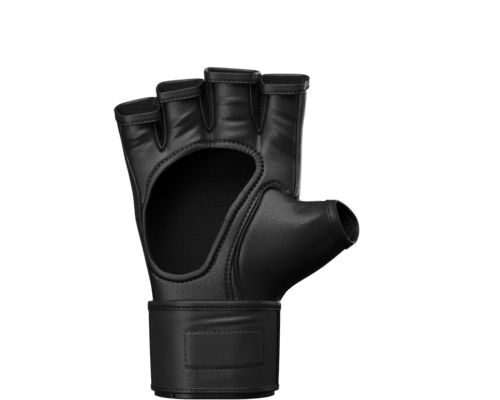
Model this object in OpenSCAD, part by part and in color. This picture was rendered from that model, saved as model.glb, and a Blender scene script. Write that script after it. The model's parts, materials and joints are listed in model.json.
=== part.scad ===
// Open-palm grappling glove for the right hand, standing on its wrist rim with the fingers up.
// X runs to the thumb side, Y to the back of the hand and Z to the finger ends.
// The origin is the centre of the wrist opening, at the rim.

/* [Wrist] */
// Width over the wrapped strap, little-finger side to thumb side
wrist_w = 84; // [76:1:104]
// Depth over the wrapped strap, palm side to back
wrist_d = 62; // [56:1:72]
// Height of the wrist section
wrist_h = 61; // [50:1:75]
// Thickness of the strap, leather and foam together
strap_t = 3.4; // [2.6:0.1:4.4]
// Height of the folded binding along each strap edge
binding_h = 5.2; // [4:0.2:7]
// Gap between the rim and the strap's lower edge
strap_lift = 3; // [2:0.5:6]
// Thickness of the cuff's foam
cuff_foam_t = 3; // [2:0.5:4.5]
// Width of the entry slit at the rim
entry_slit_w = 10; // [6:1:16]

/* [Hook and loop] */
// Width of the hook patch on the palm side
front_patch_w = 50; // [36:1:60]
// Height of both hook patches
patch_h = 24; // [18:1:34]
// Thickness of the hook tape and of the loop tape
tape_t = 0.8; // [0.6:0.1:1.2]

/* [Palm and back] */
// Height from the strap's upper edge to the middle finger's fold
palm_h = 113; // [92:1:140]
// Width of the hand section where it enters the strap
heel_w = 80; // [70:1:92]
// Thickness of the leather
leather_t = 1.6; // [1.2:0.1:2.2]
// Thickness of the textile linings and gussets
lining_t = 1.2; // [0.8:0.1:1.6]
// Thickness of the knuckle pad's foam at its crown
knuckle_pad_t = 20; // [14:1:26]
// Thickness of the foam over the back of the hand
back_pad_t = 12; // [8:1:16]
// Width of the rolled binding round the palm opening
rim_w = 4.4; // [3:0.2:6]

/* [Fingers] */
// Depth of the space inside a finger sleeve
finger_space = 22; // [18:1:27]
// Thickness of the foam on a finger's back
finger_pad_t = 13; // [9:1:17]
// Height of the hem round each sleeve's end
hem_h = 6.4; // [4.5:0.2:8]
// How far the hems stand proud of the sleeves
hem_proud = 0.8; // [0.4:0.1:1.2]
// Slope of the hems, rising to the back, in degrees
hem_slope = 12; // [6:1:16]

/* [Thumb] */
// Half height of the thumb's cone where it leaves the hand
thumb_base_r = 33; // [28:1:38]
// Half depth of the thumb's cone where it leaves the hand
thumb_base_deep = 25; // [21:1:28]
// Radius of the thumb's cone at its open end
thumb_end_r = 16; // [13:0.5:19]
// Length of the thumb's cone
thumb_len = 60; // [52:1:72]
// Distance along the thumb to its fold
thumb_fold = 36; // [30:1:42]
// Thickness of the foam on the thumb's back
thumb_pad_t = 4; // [2.5:0.5:6]

/* [Hidden] */
$fn = 64;
FINGERS = ["little", "ring", "middle", "index"];
PIECES = ["front_panel", "back_cover", "pad", "gussets", "lining", "hem"];

black = "#26262a";
soft_black = "#141416";
foam_grey = "#8f9196";

joint_gap = 0.4;      // between bodies that move against each other
big = 300;            // longer than the glove, for cutting shapes

// Finger row, little finger first
finger_w = [26.4, 30.6, 31.6, 27.6];
finger_front_w = [21, 23, 25, 21];
finger_len = [22, 28.5, 35, 27.5];
finger_lean = [-9, -9, -1, 4];
fold_drop = [12.5, 5.5, 0, 0.5];
slot_depth = 3.4;     // of the slot between two fingers, below their folds
row_x = -2.3;         // middle of the finger row
fold_y = -15;         // palm side of the finger sleeves

function sum_to(v, n) = n <= 0 ? 0 : v[n - 1] + sum_to(v, n - 1);
row_w = sum_to(finger_w, 4) + 3 * joint_gap;
middle_fold_z = wrist_h + palm_h;
function finger_x(i) = row_x - row_w / 2 + sum_to(finger_w, i) + i * joint_gap + finger_w[i] / 2;
function finger_z(i) = middle_fold_z - fold_drop[i];
// A point of finger i's fold line: side is -1 or 1, w the width used, down how far below the fold
function fold_point(i, side, w, down) =
    let (a = finger_lean[i])
    [finger_x(i) + side * w / 2 * cos(a) - down * sin(a),
     finger_z(i) - side * w / 2 * sin(a) - down * cos(a)];

// Depths: palm side outline and back outline as [y, z], from the wrist up
palm_knee = 50;       // below the middle fold, where the palm starts to deepen
palm_turn = 18;       // below the middle fold, where the palm meets the sleeves' depth
over_fold = 4;        // how far the depth lines run past the middle fold
heel_y = -26;
palm_y = -24;
lining_y = fold_y + leather_t + finger_space;
wrist_lining_y = 14;
wrist_slope = 32;     // height over which the lining slopes out to the wrist
finger_d = leather_t + finger_space + lining_t + finger_pad_t + leather_t;
pad_y = lining_y + lining_t;
crown_y = pad_y + knuckle_pad_t + leather_t;
hand_back_y = pad_y + back_pad_t + leather_t;
pad_split = 50;       // below the middle fold, where the two back pads meet
pad_gap = 1;          // from that line to each pad
rise_z = middle_fold_z - pad_split - 14;  // where the back starts to rise
knuckle_rise = 22;    // height over which it rises to the knuckle pad
knuckle_drop = 2;     // how much lower the knuckle pad starts than its crown
crown_below = 22;     // from the middle fold down to the crown
palm_side = [[heel_y, wrist_h], [palm_y, middle_fold_z - palm_knee],
             [fold_y, middle_fold_z - palm_turn], [fold_y, middle_fold_z + over_fold]];
back_side = [[hand_back_y, wrist_h], [hand_back_y, rise_z],
             [crown_y - knuckle_drop, rise_z + knuckle_rise],
             [crown_y, middle_fold_z - crown_below],
             [fold_y + finger_d, middle_fold_z + over_fold]];

// Outline of the hand in the XZ plane
thumb_top_z = wrist_h + 69;            // upper end of the thumb seam
side_bulge = [55, thumb_top_z];
heel_left = [-heel_w / 2, wrist_h];
heel_right = [heel_w / 2 + 1, wrist_h];
base_lap = 1.5;       // how far the thumb's base reaches behind the palm leather
side_lift = 1.5;      // from the thumb seam's upper end to the index side's wall

// Palm opening: circles as [x, z above the strap on a palm of drawn_palm_h, r]
drawn_palm_h = 113;
opening_circles = [[-6, 72.5, 26.9], [-22, 56.5, 22.1], [18.2, 87.8, 8.3], [-22, 38.5, 20.2]];

// Thumb frame
thumb_at = [26, -2, 35 + wrist_h];
thumb_turn = [0, 73, 0];
thumb_tilt = [6, 0, 0];
thumb_start = -20;    // the cone's base, behind the seam
seam_low = [10, wrist_h - 8];
seam_middle = [16.5, 39 + wrist_h];
seam_high = [34, thumb_top_z];

// Wrist layers, from the strap's outside inwards
tape_gap = 0.3;
strap_in = strap_t;
cuff_out = strap_in + 2 * tape_t + tape_gap;
cuff_foam_out = cuff_out + leather_t;
cuff_lining_out = cuff_foam_out + cuff_foam_t;
cuff_in = cuff_lining_out + lining_t;
strap_skin_t = 1.2;
strap_z0 = strap_lift;
strap_z1 = wrist_h - joint_gap;
strap_fold_x = -2;    // where the strap's end peels from its back
strap_end_x = 27;
anchor_x = strap_end_x + 1.6;
tab_h = 22;
tab_in_x = 19;
tab_out_x = 33;
tab_t = 1.4;
front_patch_x = 6;
back_patch_x0 = 1;
patch_to_end = 2;     // from the strap's end to its hook patch
rim_binding_h = 7;    // of the cuff's rim binding
slit_to_patch = 2;    // from the entry slit to the front patch
slit_stop = 12;       // from the slit's narrow end to the cuff's top

// ---------- shared shapes ----------

// Extrudes a shape drawn in the XZ plane along Y, from y0 to y1
module along_y(y0, y1) {
    translate([0, y1, 0]) rotate([90, 0, 0]) linear_extrude(y1 - y0) children();
}

// Extrudes a shape drawn as [y, z] along X, across the whole hand
module along_x() {
    translate([-big / 2, 0, 0]) rotate([90, 0, 90]) linear_extrude(big) children();
}

// A wrist oval: the strap's outline taken in by `inset`
module oval(inset) {
    r = wrist_d / 2 - inset;
    half = (wrist_w - wrist_d) / 2;
    square([2 * half, 2 * r], center = true);
    for (s = [-1, 1]) translate([s * half, 0]) circle(r);
}

// A ring of the wrist oval between two insets
module wrist_ring(outer, inner, z0, z1) {
    translate([0, 0, z0]) linear_extrude(z1 - z0) difference() {
        oval(outer);
        oval(inner);
    }
}

// Box given by its lowest and highest corners
module block(low, high) {
    translate(low) cube(high - low);
}

// ---------- hand ----------

// Whole hand outline, up to the fold of each finger
module hand_outline() {
    down = joint_gap / 2;
    polygon(concat(
        [heel_left],
        [for (i = [0:3], s = [-1, 1]) fold_point(i, s, finger_w[i], down)],
        [side_bulge, heel_right]));
}

// Outline of the palm leather, with narrow stubs under the fingers and slots between them
module palm_outline() {
    difference() {
        hand_outline();
        for (i = [0:2]) {
            left = fold_point(i, 1, finger_front_w[i], 0);
            right = fold_point(i + 1, -1, finger_front_w[i + 1], 0);
            low = (left + right) / 2 - [0, slot_depth + abs(left[1] - right[1]) / 2];
            polygon([left + [0, 2], left, low, right, right + [0, 2]]);
        }
    }
}

// The palm opening, grown by `more`
module opening(more) {
    offset(delta = more) hull()
        for (c = opening_circles)
            translate([c[0], wrist_h + c[1] * palm_h / drawn_palm_h]) circle(c[2]);
}

// What lies on the thumb's side of the seam
module thumb_side() {
    polygon([seam_low, seam_middle, seam_high, [big, seam_high[1]], [big, seam_low[1]]]);
}

// The space between two depth lines, each a list of [y, z]
module between(front, back) {
    along_x() polygon(concat(front, [for (k = [len(back) - 1:-1:0]) back[k]]));
}

function moved(line, dy) = [for (p = line) [p[0] + dy, p[1]]];
// The lining's face towards the hand, moved back by dy
function lining_side(dy) = [[wrist_lining_y + dy, wrist_h], [lining_y + dy, wrist_h + wrist_slope],
                            [lining_y + dy, middle_fold_z + over_fold]];

module palm_panel() {
    color(black) intersection() {
        between(palm_side, moved(palm_side, leather_t));
        along_y(-60, 20) difference() {
            palm_outline();
            opening(rim_w);
            thumb_side();
        }
    }
}

module palm_opening_binding() {
    roll = leather_t * 0.6;
    color(black) intersection() {
        between(moved(palm_side, -roll), moved(palm_side, leather_t + roll));
        along_y(-60, 20) difference() {
            opening(rim_w);
            opening(0);
            thumb_side();
        }
    }
}

// A side wall along one edge of the outline, filling the depth between palm and back leather
module side_wall(low, high, inward) {
    step = [inward * lining_t, 0];
    intersection() {
        between(moved(palm_side, leather_t), moved(back_side, -leather_t));
        along_y(-60, 60) polygon([low, low + step, high + step, high]);
    }
}

module little_side_gusset() {
    color(black) side_wall(heel_left, fold_point(0, -1, finger_w[0], joint_gap), 1);
}

// The index side's wall, open below the thumb seam's upper end
module index_side_gusset() {
    top = fold_point(3, 1, finger_w[3], joint_gap);
    color(black) difference() {
        union() {
            side_wall(side_bulge, top, -1);
            side_wall(heel_right, side_bulge, -1);
        }
        block([0, -60, wrist_h - 1], [90, lining_y, thumb_top_z + side_lift]);
    }
}

module back_shell() {
    color(black) intersection() {
        between(moved(back_side, -leather_t), back_side);
        along_y(-60, 60) hand_outline();
    }
}

// Foam between the back lining and the back leather, from z0 to z1
module back_foam(z0, z1) {
    color(foam_grey) intersection() {
        between(lining_side(lining_t), moved(back_side, -leather_t));
        along_y(-60, 60) offset(delta = -lining_t - 0.1) hand_outline();
        block([-big, -60, z0], [big, 60, z1]);
    }
}

module knuckle_pad() { back_foam(middle_fold_z - pad_split + pad_gap, big); }

module back_pad() { back_foam(wrist_h + pad_gap, middle_fold_z - pad_split - pad_gap); }

module back_lining() {
    color(soft_black) intersection() {
        between(lining_side(0), lining_side(lining_t));
        along_y(-60, 60) offset(delta = -lining_t - 0.1) hand_outline();
    }
}

// ---------- cuff ----------

// Entry slit through the palm side of the cuff
module entry_slit() {
    slit_x = front_patch_x - front_patch_w / 2 - entry_slit_w / 2 - slit_to_patch;
    along_y(-60, -1) polygon([[slit_x - entry_slit_w / 2, -1], [slit_x + entry_slit_w / 2, -1],
                              [slit_x + 1, wrist_h - slit_stop], [slit_x - 1, wrist_h - slit_stop]]);
}

module cuff_layer(outer, inner, z0) {
    difference() {
        wrist_ring(outer, inner, z0, wrist_h);
        entry_slit();
    }
}

module cuff_shell() { color(black) cuff_layer(cuff_out, cuff_foam_out, rim_binding_h); }

module cuff_foam() { color(foam_grey) cuff_layer(cuff_foam_out, cuff_lining_out, rim_binding_h); }

module cuff_lining() { color(soft_black) cuff_layer(cuff_lining_out, cuff_in, rim_binding_h); }

module cuff_rim_binding() {
    color(black) difference() {
        wrist_ring(cuff_out, cuff_in, 0, rim_binding_h);
        entry_slit();
    }
}

patch_mid_z = (strap_z0 + strap_z1) / 2;
module patch_block(x0, x1, y0, y1) {
    block([x0, y0, patch_mid_z - patch_h / 2], [x1, y1, patch_mid_z + patch_h / 2]);
}

module front_patch_area() {
    patch_block(front_patch_x - front_patch_w / 2, front_patch_x + front_patch_w / 2, -60, 0);
}

module back_patch_area() { patch_block(back_patch_x0, strap_end_x - patch_to_end, 0, 60); }

module loop_layer() { wrist_ring(strap_in + tape_t + tape_gap, cuff_out, 0, wrist_h); }

module hook_layer() { wrist_ring(strap_in, strap_in + tape_t, 0, wrist_h); }

module cuff_front_loop_patch() {
    color(soft_black) intersection() { loop_layer(); front_patch_area(); }
}

module cuff_back_loop_patch() {
    color(soft_black) intersection() { loop_layer(); back_patch_area(); }
}

// ---------- strap ----------

half_gap = joint_gap / 2;

module front_half() { block([-big, -60, -1], [big, -half_gap, big]); }

module back_stretch() { block([-big, half_gap, -1], [strap_fold_x - half_gap, 60, big]); }

module end_stretch() { block([strap_fold_x + half_gap, half_gap, -1], [strap_end_x, 60, big]); }

module strap_skin() {
    wrist_ring(0, strap_skin_t, strap_z0 + binding_h, strap_z1 - binding_h);
}

module strap_core() {
    wrist_ring(strap_skin_t, strap_in, strap_z0 + binding_h, strap_z1 - binding_h);
}

module strap_edges() {
    wrist_ring(0, strap_in, strap_z0, strap_z0 + binding_h);
    wrist_ring(0, strap_in, strap_z1 - binding_h, strap_z1);
}

module strap_anchor() {
    color(black) intersection() {
        wrist_ring(joint_gap, cuff_out, strap_z0, strap_z1);
        block([anchor_x, half_gap, -1], [big, 60, big]);
    }
}

module strap_front_band() { color(black) intersection() { strap_skin(); front_half(); } }
module strap_front_foam() { color(foam_grey) intersection() { strap_core(); front_half(); } }
module strap_front_bindings() { color(black) intersection() { strap_edges(); front_half(); } }
module strap_front_hook_patch() {
    color(soft_black) intersection() { hook_layer(); front_patch_area(); }
}

module strap_back_band() { color(black) intersection() { strap_skin(); back_stretch(); } }
module strap_back_foam() { color(foam_grey) intersection() { strap_core(); back_stretch(); } }
module strap_back_bindings() { color(black) intersection() { strap_edges(); back_stretch(); } }

module strap_end_band() { color(black) intersection() { strap_skin(); end_stretch(); } }
module strap_end_foam() { color(foam_grey) intersection() { strap_core(); end_stretch(); } }
module strap_end_bindings() { color(black) intersection() { strap_edges(); end_stretch(); } }
module strap_end_hook_patch() {
    color(soft_black) intersection() { hook_layer(); back_patch_area(); }
}

module strap_pull_tab() {
    color(soft_black) intersection() {
        wrist_ring(-tab_t, 0, patch_mid_z - tab_h / 2, patch_mid_z + tab_h / 2);
        block([tab_in_x, 0, 0], [tab_out_x, 60, wrist_h]);
    }
}

// ---------- fingers ----------

// Places finger i's own frame: fold at z = 0, palm side at y = 0
module at_finger(i) {
    translate([finger_x(i), fold_y, finger_z(i)]) rotate([0, finger_lean[i], 0]) children();
}

gusset_back = 17;     // depth at which the side gussets meet the back cover

// Cross-section of sleeve i, taken in by `inset`
module finger_section(i, inset) {
    a = finger_front_w[i] / 2;
    b = finger_w[i] / 2;
    round = 7;
    offset(delta = -inset) polygon([
        [-a, 0], [a, 0], [b, gusset_back], [b, finger_d - round], [b - round, finger_d],
        [round - b, finger_d], [-b, finger_d - round], [-b, gusset_back]]);
}

// Extrudes a cross-section from the fold to the sleeve's hem
module sleeve(i) {
    difference() {
        translate([0, 0, half_gap]) linear_extrude(finger_len[i] + 20) children();
        above_hem(i, hem_h);
    }
}

// All above the sloped plane that lies `down` below the sleeve's end
module above_hem(i, down) {
    translate([0, 0, finger_len[i] - down]) rotate([hem_slope, 0, 0])
        block([-60, -60, 0], [60, 120, 80]);
}

module finger_front_panel(i) {
    a = finger_front_w[i] / 2 - 1;
    color(black) sleeve(i) translate([-a, 0]) square([2 * a, leather_t]);
}

module finger_back_cover(i) {
    color(black) sleeve(i) difference() {
        finger_section(i, 0);
        finger_section(i, leather_t);
        translate([-60, -1]) square([120, gusset_back + 1]);
    }
}

module finger_pad(i) {
    color(foam_grey) sleeve(i) intersection() {
        finger_section(i, leather_t);
        translate([-60, leather_t + finger_space + lining_t]) square([120, finger_pad_t]);
    }
}

module finger_gussets(i) {
    a = finger_front_w[i] / 2;
    color(soft_black) sleeve(i) difference() {
        finger_section(i, 0);
        finger_section(i, lining_t);
        translate([-60, gusset_back]) square([120, 60]);
        translate([1 - a, -1]) square([2 * a - 2, leather_t + 2]);
    }
}

module finger_lining(i) {
    color(soft_black) sleeve(i) intersection() {
        finger_section(i, leather_t);
        translate([-60, leather_t + finger_space]) square([120, lining_t]);
    }
}

// A folded hem round the sleeve's end, over leather, gussets and lining
module finger_hem(i) {
    inner = leather_t + hem_proud;
    color(black) intersection() {
        linear_extrude(finger_len[i] + 20) difference() {
            intersection() {
                finger_section(i, -hem_proud);
                translate([-finger_w[i] / 2, -60]) square([finger_w[i], 180]);
            }
            intersection() {
                finger_section(i, inner);
                translate([-60, 0]) square([120, leather_t + finger_space - hem_proud]);
            }
        }
        difference() {
            above_hem(i, hem_h);
            above_hem(i, 0);
        }
    }
}

// ---------- thumb ----------

module at_thumb() {
    translate(thumb_at) rotate(thumb_turn) rotate(thumb_tilt) children();
}

// One end of the cone: an oval of half height `high` and half depth `deep`, taken in by `inset`
module thumb_oval(z, high, deep, inset) {
    translate([0, 0, z]) linear_extrude(0.1)
        scale([high - inset, deep - inset]) circle(1, $fn = 40);
}

module thumb_solid(inset) {
    hull() {
        thumb_oval(0, thumb_base_r, thumb_base_deep, inset);
        thumb_oval(thumb_len + 1, thumb_end_r, thumb_end_r, inset);
    }
    hull() {
        thumb_oval(0, thumb_base_r, thumb_base_deep, inset);
        thumb_oval(thumb_start, thumb_base_r + 2, thumb_base_deep, inset);
    }
}

// The thumb's wall between two insets, from z0 to z1 along the thumb
module thumb_shell(z0, z1, outer, inner) {
    intersection() {
        difference() {
            thumb_solid(outer);
            thumb_solid(inner);
        }
        block([-90, -90, z0], [90, 90, z1]);
    }
}

module thumb_base_panel() {
    color(black) difference() {
        at_thumb() thumb_shell(thumb_start + 1, thumb_fold - half_gap, 0, leather_t);
        along_y(-90, 90) difference() {
            translate([-big, -big]) square(2 * big);
            thumb_side();
        }
        along_y(palm_y + leather_t + base_lap, 90) hand_outline();
        block([-big, -90, -big], [big, 90, wrist_h]);
    }
}

module thumb_sleeve_panel() {
    color(black) at_thumb() thumb_shell(thumb_fold + half_gap, thumb_len - hem_h, 0, leather_t);
}

thumb_pad_in = leather_t + thumb_pad_t;

// A layer inside the back half of the thumb's sleeve
module thumb_back_layer(outer, inner) {
    at_thumb() intersection() {
        thumb_shell(thumb_fold + half_gap, thumb_len - hem_h, outer, inner);
        block([-60, 4, 0], [60, 60, big]);
    }
}

module thumb_pad() { color(foam_grey) thumb_back_layer(leather_t, thumb_pad_in); }

module thumb_sleeve_lining() {
    color(soft_black) thumb_back_layer(thumb_pad_in, thumb_pad_in + lining_t);
}

module thumb_hem() {
    color(black) at_thumb() thumb_shell(thumb_len - hem_h, thumb_len, -hem_proud, leather_t + hem_proud);
}

// ---------- nodes ----------

palm_panel();
palm_opening_binding();
little_side_gusset();
index_side_gusset();
back_shell();
knuckle_pad();
back_pad();
back_lining();
cuff_shell();
cuff_foam();
cuff_lining();
cuff_rim_binding();
cuff_front_loop_patch();
cuff_back_loop_patch();
strap_anchor();
strap_front_band();
strap_front_foam();
strap_front_bindings();
strap_front_hook_patch();
strap_back_band();
strap_back_foam();
strap_back_bindings();
strap_end_band();
strap_end_foam();
strap_end_bindings();
strap_end_hook_patch();
strap_pull_tab();
thumb_base_panel();
thumb_sleeve_panel();
thumb_sleeve_lining();
thumb_pad();
thumb_hem();
for (i = [0:3]) {
    at_finger(i) finger_front_panel(i);
    at_finger(i) finger_back_cover(i);
    at_finger(i) finger_pad(i);
    at_finger(i) finger_gussets(i);
    at_finger(i) finger_lining(i);
    at_finger(i) finger_hem(i);
}
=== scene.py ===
import json
import math

import bmesh
import bpy
import numpy as np
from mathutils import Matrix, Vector
from mathutils.geometry import delaunay_2d_cdt


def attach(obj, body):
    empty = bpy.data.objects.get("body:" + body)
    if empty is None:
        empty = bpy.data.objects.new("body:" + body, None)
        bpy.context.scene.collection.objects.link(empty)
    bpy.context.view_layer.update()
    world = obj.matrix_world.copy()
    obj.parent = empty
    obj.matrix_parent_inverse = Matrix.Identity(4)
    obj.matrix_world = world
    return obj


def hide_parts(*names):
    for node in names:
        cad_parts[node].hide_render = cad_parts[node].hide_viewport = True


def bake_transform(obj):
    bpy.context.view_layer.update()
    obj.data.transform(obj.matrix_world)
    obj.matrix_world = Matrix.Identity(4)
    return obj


# Looks of the open-palm grappling glove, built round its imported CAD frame. Lengths are in
# millimetres until a mesh is made. X runs to the thumb, Y to the back of the hand, and Z to the
# finger ends, so the palm faces -Y.

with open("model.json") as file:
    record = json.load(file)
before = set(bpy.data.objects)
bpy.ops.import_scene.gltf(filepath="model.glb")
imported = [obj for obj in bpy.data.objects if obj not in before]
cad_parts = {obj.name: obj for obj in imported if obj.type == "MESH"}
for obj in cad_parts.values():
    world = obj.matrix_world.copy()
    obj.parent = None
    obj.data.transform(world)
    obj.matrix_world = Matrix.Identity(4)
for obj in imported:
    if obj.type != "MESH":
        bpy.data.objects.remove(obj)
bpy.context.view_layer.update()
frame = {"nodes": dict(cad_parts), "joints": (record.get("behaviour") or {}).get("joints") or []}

MM = 0.001
MEETS = 1e-6
LEATHER_T = 1.3
KNIT_T = 0.9
BINDING_W = 4.4
TRIANGLE_RISE = 0.866
FINGERS = ("little", "ring", "middle", "index")
joint_at = {j["name"]: np.array(j["pos_m"]) / MM for j in frame["joints"]}
joint_axis = {j["name"]: np.array(j["axis"]) for j in frame["joints"]}
fold_at = [joint_at[f + "_curl"] for f in FINGERS]
finger_up = [np.array([-joint_axis[f + "_curl"][2], 0, joint_axis[f + "_curl"][0]]) for f in FINGERS]


# ---------- curves and shares ----------


def ease(value, start, end):
    """0 before start, 1 after end, and smooth between."""
    t = np.clip((np.asarray(value, float) - start) / (end - start), 0, 1)
    return t * t * (3 - 2 * t)


def hump(distance, width):
    return np.exp(-((distance / width) ** 2))


def unit(vectors):
    return vectors / np.maximum(np.linalg.norm(vectors, axis=-1, keepdims=True), 1e-9)


def length_along(line):
    return np.concatenate([[0], np.cumsum(np.linalg.norm(np.diff(line, axis=0), axis=1))])


def sample(line, run, at):
    return np.stack([np.interp(at, run, line[:, k]) for k in range(line.shape[1])], 1)


def respace(line, spacing=1.3, ring=False, count=None):
    """The same line with evenly spaced points."""
    line = np.asarray(line, float)
    if ring:
        line = np.vstack([line, line[:1]])
    run = length_along(line)
    at = np.linspace(0, run[-1], (count or max(2, round(run[-1] / spacing)) + 1) + (1 if ring else 0))
    return sample(line, run, at[:-1] if ring else at)


def curve(points, spacing=1.3, ring=False):
    """Evenly spaced points along a smooth curve through the given ones."""
    p = np.array(points, float)
    p = np.vstack([p[-1:], p, p[:2]]) if ring else np.vstack([2 * p[0] - p[1], p, 2 * p[-1] - p[-2]])
    t = np.linspace(0, 1, 24, endpoint=False)[:, None]
    parts = [
        b + t * (c - a) / 2 + t**2 * (2 * a - 5 * b + 4 * c - d) / 2 + t**3 * (3 * b - a - 3 * c + d) / 2
        for a, b, c, d in zip(p, p[1:], p[2:], p[3:])
    ]
    return respace(np.vstack(parts if ring else parts + [p[-2:-1]]), spacing, ring)


def straight(a, b, spacing=1.3):
    return respace([a, b], spacing)


def chain(*lines):
    """One closed outline from lines in order, with straight edges where two of them don't meet."""
    parts = []
    for line, following in zip(lines, lines[1:] + lines[:1]):
        parts.append(line[:-1])
        if np.linalg.norm(line[-1] - following[0]) > MEETS:
            parts.append(straight(line[-1], following[0])[:-1])
    return np.vstack(parts)


def profile(points):
    """A function through (place, value) points, smooth between them."""
    line = curve(points, 0.5)
    return lambda at: np.interp(at, line[:, 0], line[:, 1])


def nearest(points, line, ring=False):
    """How far each point is from a line, and how far along it, from 0 to 1, the nearest place is."""
    a = line if ring else line[:-1]
    b = np.roll(line, -1, axis=0) if ring else line[1:]
    best = np.full(len(points), 1e9)
    share = np.zeros(len(points))
    for k in range(len(a)):
        d = b[k] - a[k]
        t = np.clip((points - a[k]) @ d / max(d @ d, 1e-12), 0, 1)
        away = np.linalg.norm(points - a[k] - t[:, None] * d, axis=1)
        closer = away < best
        best = np.where(closer, away, best)
        share = np.where(closer, (k + t) / len(a), share)
    return best, share


def inside(points, outline):
    """Whether each point lies inside a closed outline."""
    crossings = np.zeros(len(points), int)
    for (ax, az), (bx, bz) in zip(outline, np.roll(outline, -1, axis=0)):
        if az != bz:
            spans = (az > points[:, 1]) != (bz > points[:, 1])
            crossings += spans & (points[:, 0] < ax + (points[:, 1] - az) * (bx - ax) / (bz - az))
    return crossings % 2 == 1


def grown(loop, by):
    """A closed outline moved outwards, whichever way round it runs."""
    step = np.roll(loop, -1, axis=0) - np.roll(loop, 1, axis=0)
    out = unit(np.stack([step[:, 1], -step[:, 0]], 1))
    area = np.sum(loop[:, 0] * np.roll(loop[:, 1], -1) - loop[:, 1] * np.roll(loop[:, 0], -1))
    return loop + out * by * np.sign(area)


def folds(xz, lines):
    """Height of soft folds, each given by three points, a width and a height. Ends fade out."""
    total = np.zeros(len(xz))
    t = np.linspace(0, 1, 14)[:, None]
    for a, b, c, width, height in lines:
        a, b, c = (np.array(p, float) for p in (a, b, c))
        away, share = nearest(xz, a * (1 - t) ** 2 + b * 2 * t * (1 - t) + c * t**2)
        total += height * hump(away, width) * np.sin(math.pi * np.clip(share, 0.03, 0.97)) ** 0.7
    return total


# ---------- mesh making ----------


def surface_normals(points, faces):
    """Outward directions at the points of a surface, from the faces that meet there."""
    corners = points[faces]
    across = np.cross(corners[:, 2] - corners[:, 0], corners[:, -1] - corners[:, 1])
    total = np.zeros_like(points)
    for k in range(faces.shape[1]):
        np.add.at(total, faces[:, k], across)
    return unit(total)


def piece(name, points, faces, material, corner_normals=None):
    mesh = bpy.data.meshes.new(name)
    mesh.from_pydata((np.asarray(points) * MM).tolist(), [], [[int(i) for i in f] for f in faces])
    mesh.update()
    mesh.shade_smooth()
    if corner_normals is not None:
        mesh.normals_split_custom_set(corner_normals.tolist())
    mesh.materials.append(material)
    obj = bpy.data.objects.new("soft_" + name if name in frame["nodes"] else name, mesh)
    bpy.context.scene.collection.objects.link(obj)
    return obj


def sheet(name, points, faces, thickness, material, normals=None):
    """A closed sheet of leather or cloth. The faces given are its outer side."""
    if normals is None:
        normals = surface_normals(points, faces)
    used, places = np.unique(faces, return_inverse=True)
    faces = places.reshape(faces.shape)
    points, normals = points[used], normals[used]
    count = len(points)
    edges = {(f[k], f[(k + 1) % len(f)]) for f in faces.tolist() for k in range(len(f))}
    rim = [(b, a, a + count, b + count) for a, b in edges if (b, a) not in edges]
    inner = faces[:, ::-1] + count
    both = np.vstack([points, points - normals * thickness])
    corner_normals = np.vstack(
        [normals[faces.ravel()], -normals[inner.ravel() - count], np.zeros((4 * len(rim), 3))]
    )
    return piece(name, both, faces.tolist() + inner.tolist() + rim, material, corner_normals)


def grid_faces(rows, cols, ring_rows=False, ring_cols=False):
    """Four-sided faces over a grid of points."""
    r, c = np.meshgrid(
        np.arange(rows - (not ring_rows)), np.arange(cols - (not ring_cols)), indexing="ij"
    )
    r, c = r.ravel(), c.ravel()
    below, beside = (r + 1) % rows, (c + 1) % cols
    return np.stack([r * cols + c, r * cols + beside, below * cols + beside, below * cols + c], 1)


def skin(name, grid, thickness, material, ring=False, flip=False, rows=None):
    """A sheet over a grid of points, or over some of its rows. A ring joins across its columns."""
    faces = grid_faces(*grid.shape[:2], ring_cols=ring)
    if flip:
        faces = faces[:, ::-1]
    points = grid.reshape(-1, 3)
    normals = surface_normals(points, faces)
    if rows is not None:
        at = faces.min(1) // grid.shape[1]
        faces = faces[(at >= rows[0]) & (at < rows[1])]
    return sheet(name, points, faces, thickness, material, normals)


def fill(loops, spacing):
    """Points and triangles that fill the space inside the first outline and outside the others."""
    low, high = loops[0].min(0), loops[0].max(0)
    rows = []
    for k, z in enumerate(np.arange(low[1], high[1], spacing * TRIANGLE_RISE)):
        x = np.arange(low[0] + (k % 2) * spacing / 2, high[0], spacing)
        rows.append(np.stack([x, np.full_like(x, z)], 1))
    grid = np.vstack(rows)
    within = inside(grid, loops[0])
    for k, loop in enumerate(loops):
        within &= nearest(grid, loop, ring=True)[0] > spacing * 0.55
        if k:
            within &= ~inside(grid, loop)
    edges, start = [], 0
    for loop in loops:
        n = len(loop)
        edges += [(start + k, start + (k + 1) % n) for k in range(n)]
        start += n
    points = np.vstack(list(loops) + [grid[within]])
    found = delaunay_2d_cdt([Vector(p) for p in points], edges, [], 0, 1e-6)
    points = np.array([tuple(p) for p in found[0]])
    faces = np.array(found[2])
    middle = points[faces].mean(1)
    keep = inside(middle, loops[0])
    for loop in loops[1:]:
        keep &= ~inside(middle, loop)
    return points, faces[keep]


def facing(points, faces, toward):
    """The faces, turned so that they look towards +Y or -Y."""
    corners = points[faces]
    side = np.cross(corners[:, 1] - corners[:, 0], corners[:, 2] - corners[:, 0])[:, 1] * toward
    faces = faces.copy()
    faces[side < 0] = faces[side < 0][:, ::-1]
    return faces


def outward(obj):
    """Turns a closed mesh's faces outwards."""
    work = bmesh.new()
    work.from_mesh(obj.data)
    bmesh.ops.recalc_face_normals(work, faces=work.faces)
    work.to_mesh(obj.data)
    work.free()
    return obj


def roll(name, path, side, up, outline, material, ring=True):
    """A band whose outline, as (along side, along up) places, is carried along a path."""
    outline = np.asarray(outline)
    if outline.ndim == 2:
        outline = np.repeat(outline[None], len(path), 0)
    grid = path[:, None] + side[:, None] * outline[..., :1] + up[:, None] * outline[..., 1:]
    rows, cols = grid.shape[:2]
    faces = grid_faces(rows, cols, ring_rows=ring, ring_cols=True).tolist()
    if not ring:
        faces += [list(range(cols))[::-1], list(range((rows - 1) * cols, rows * cols))]
    return outward(piece(name, grid.reshape(-1, 3), faces, material))


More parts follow.
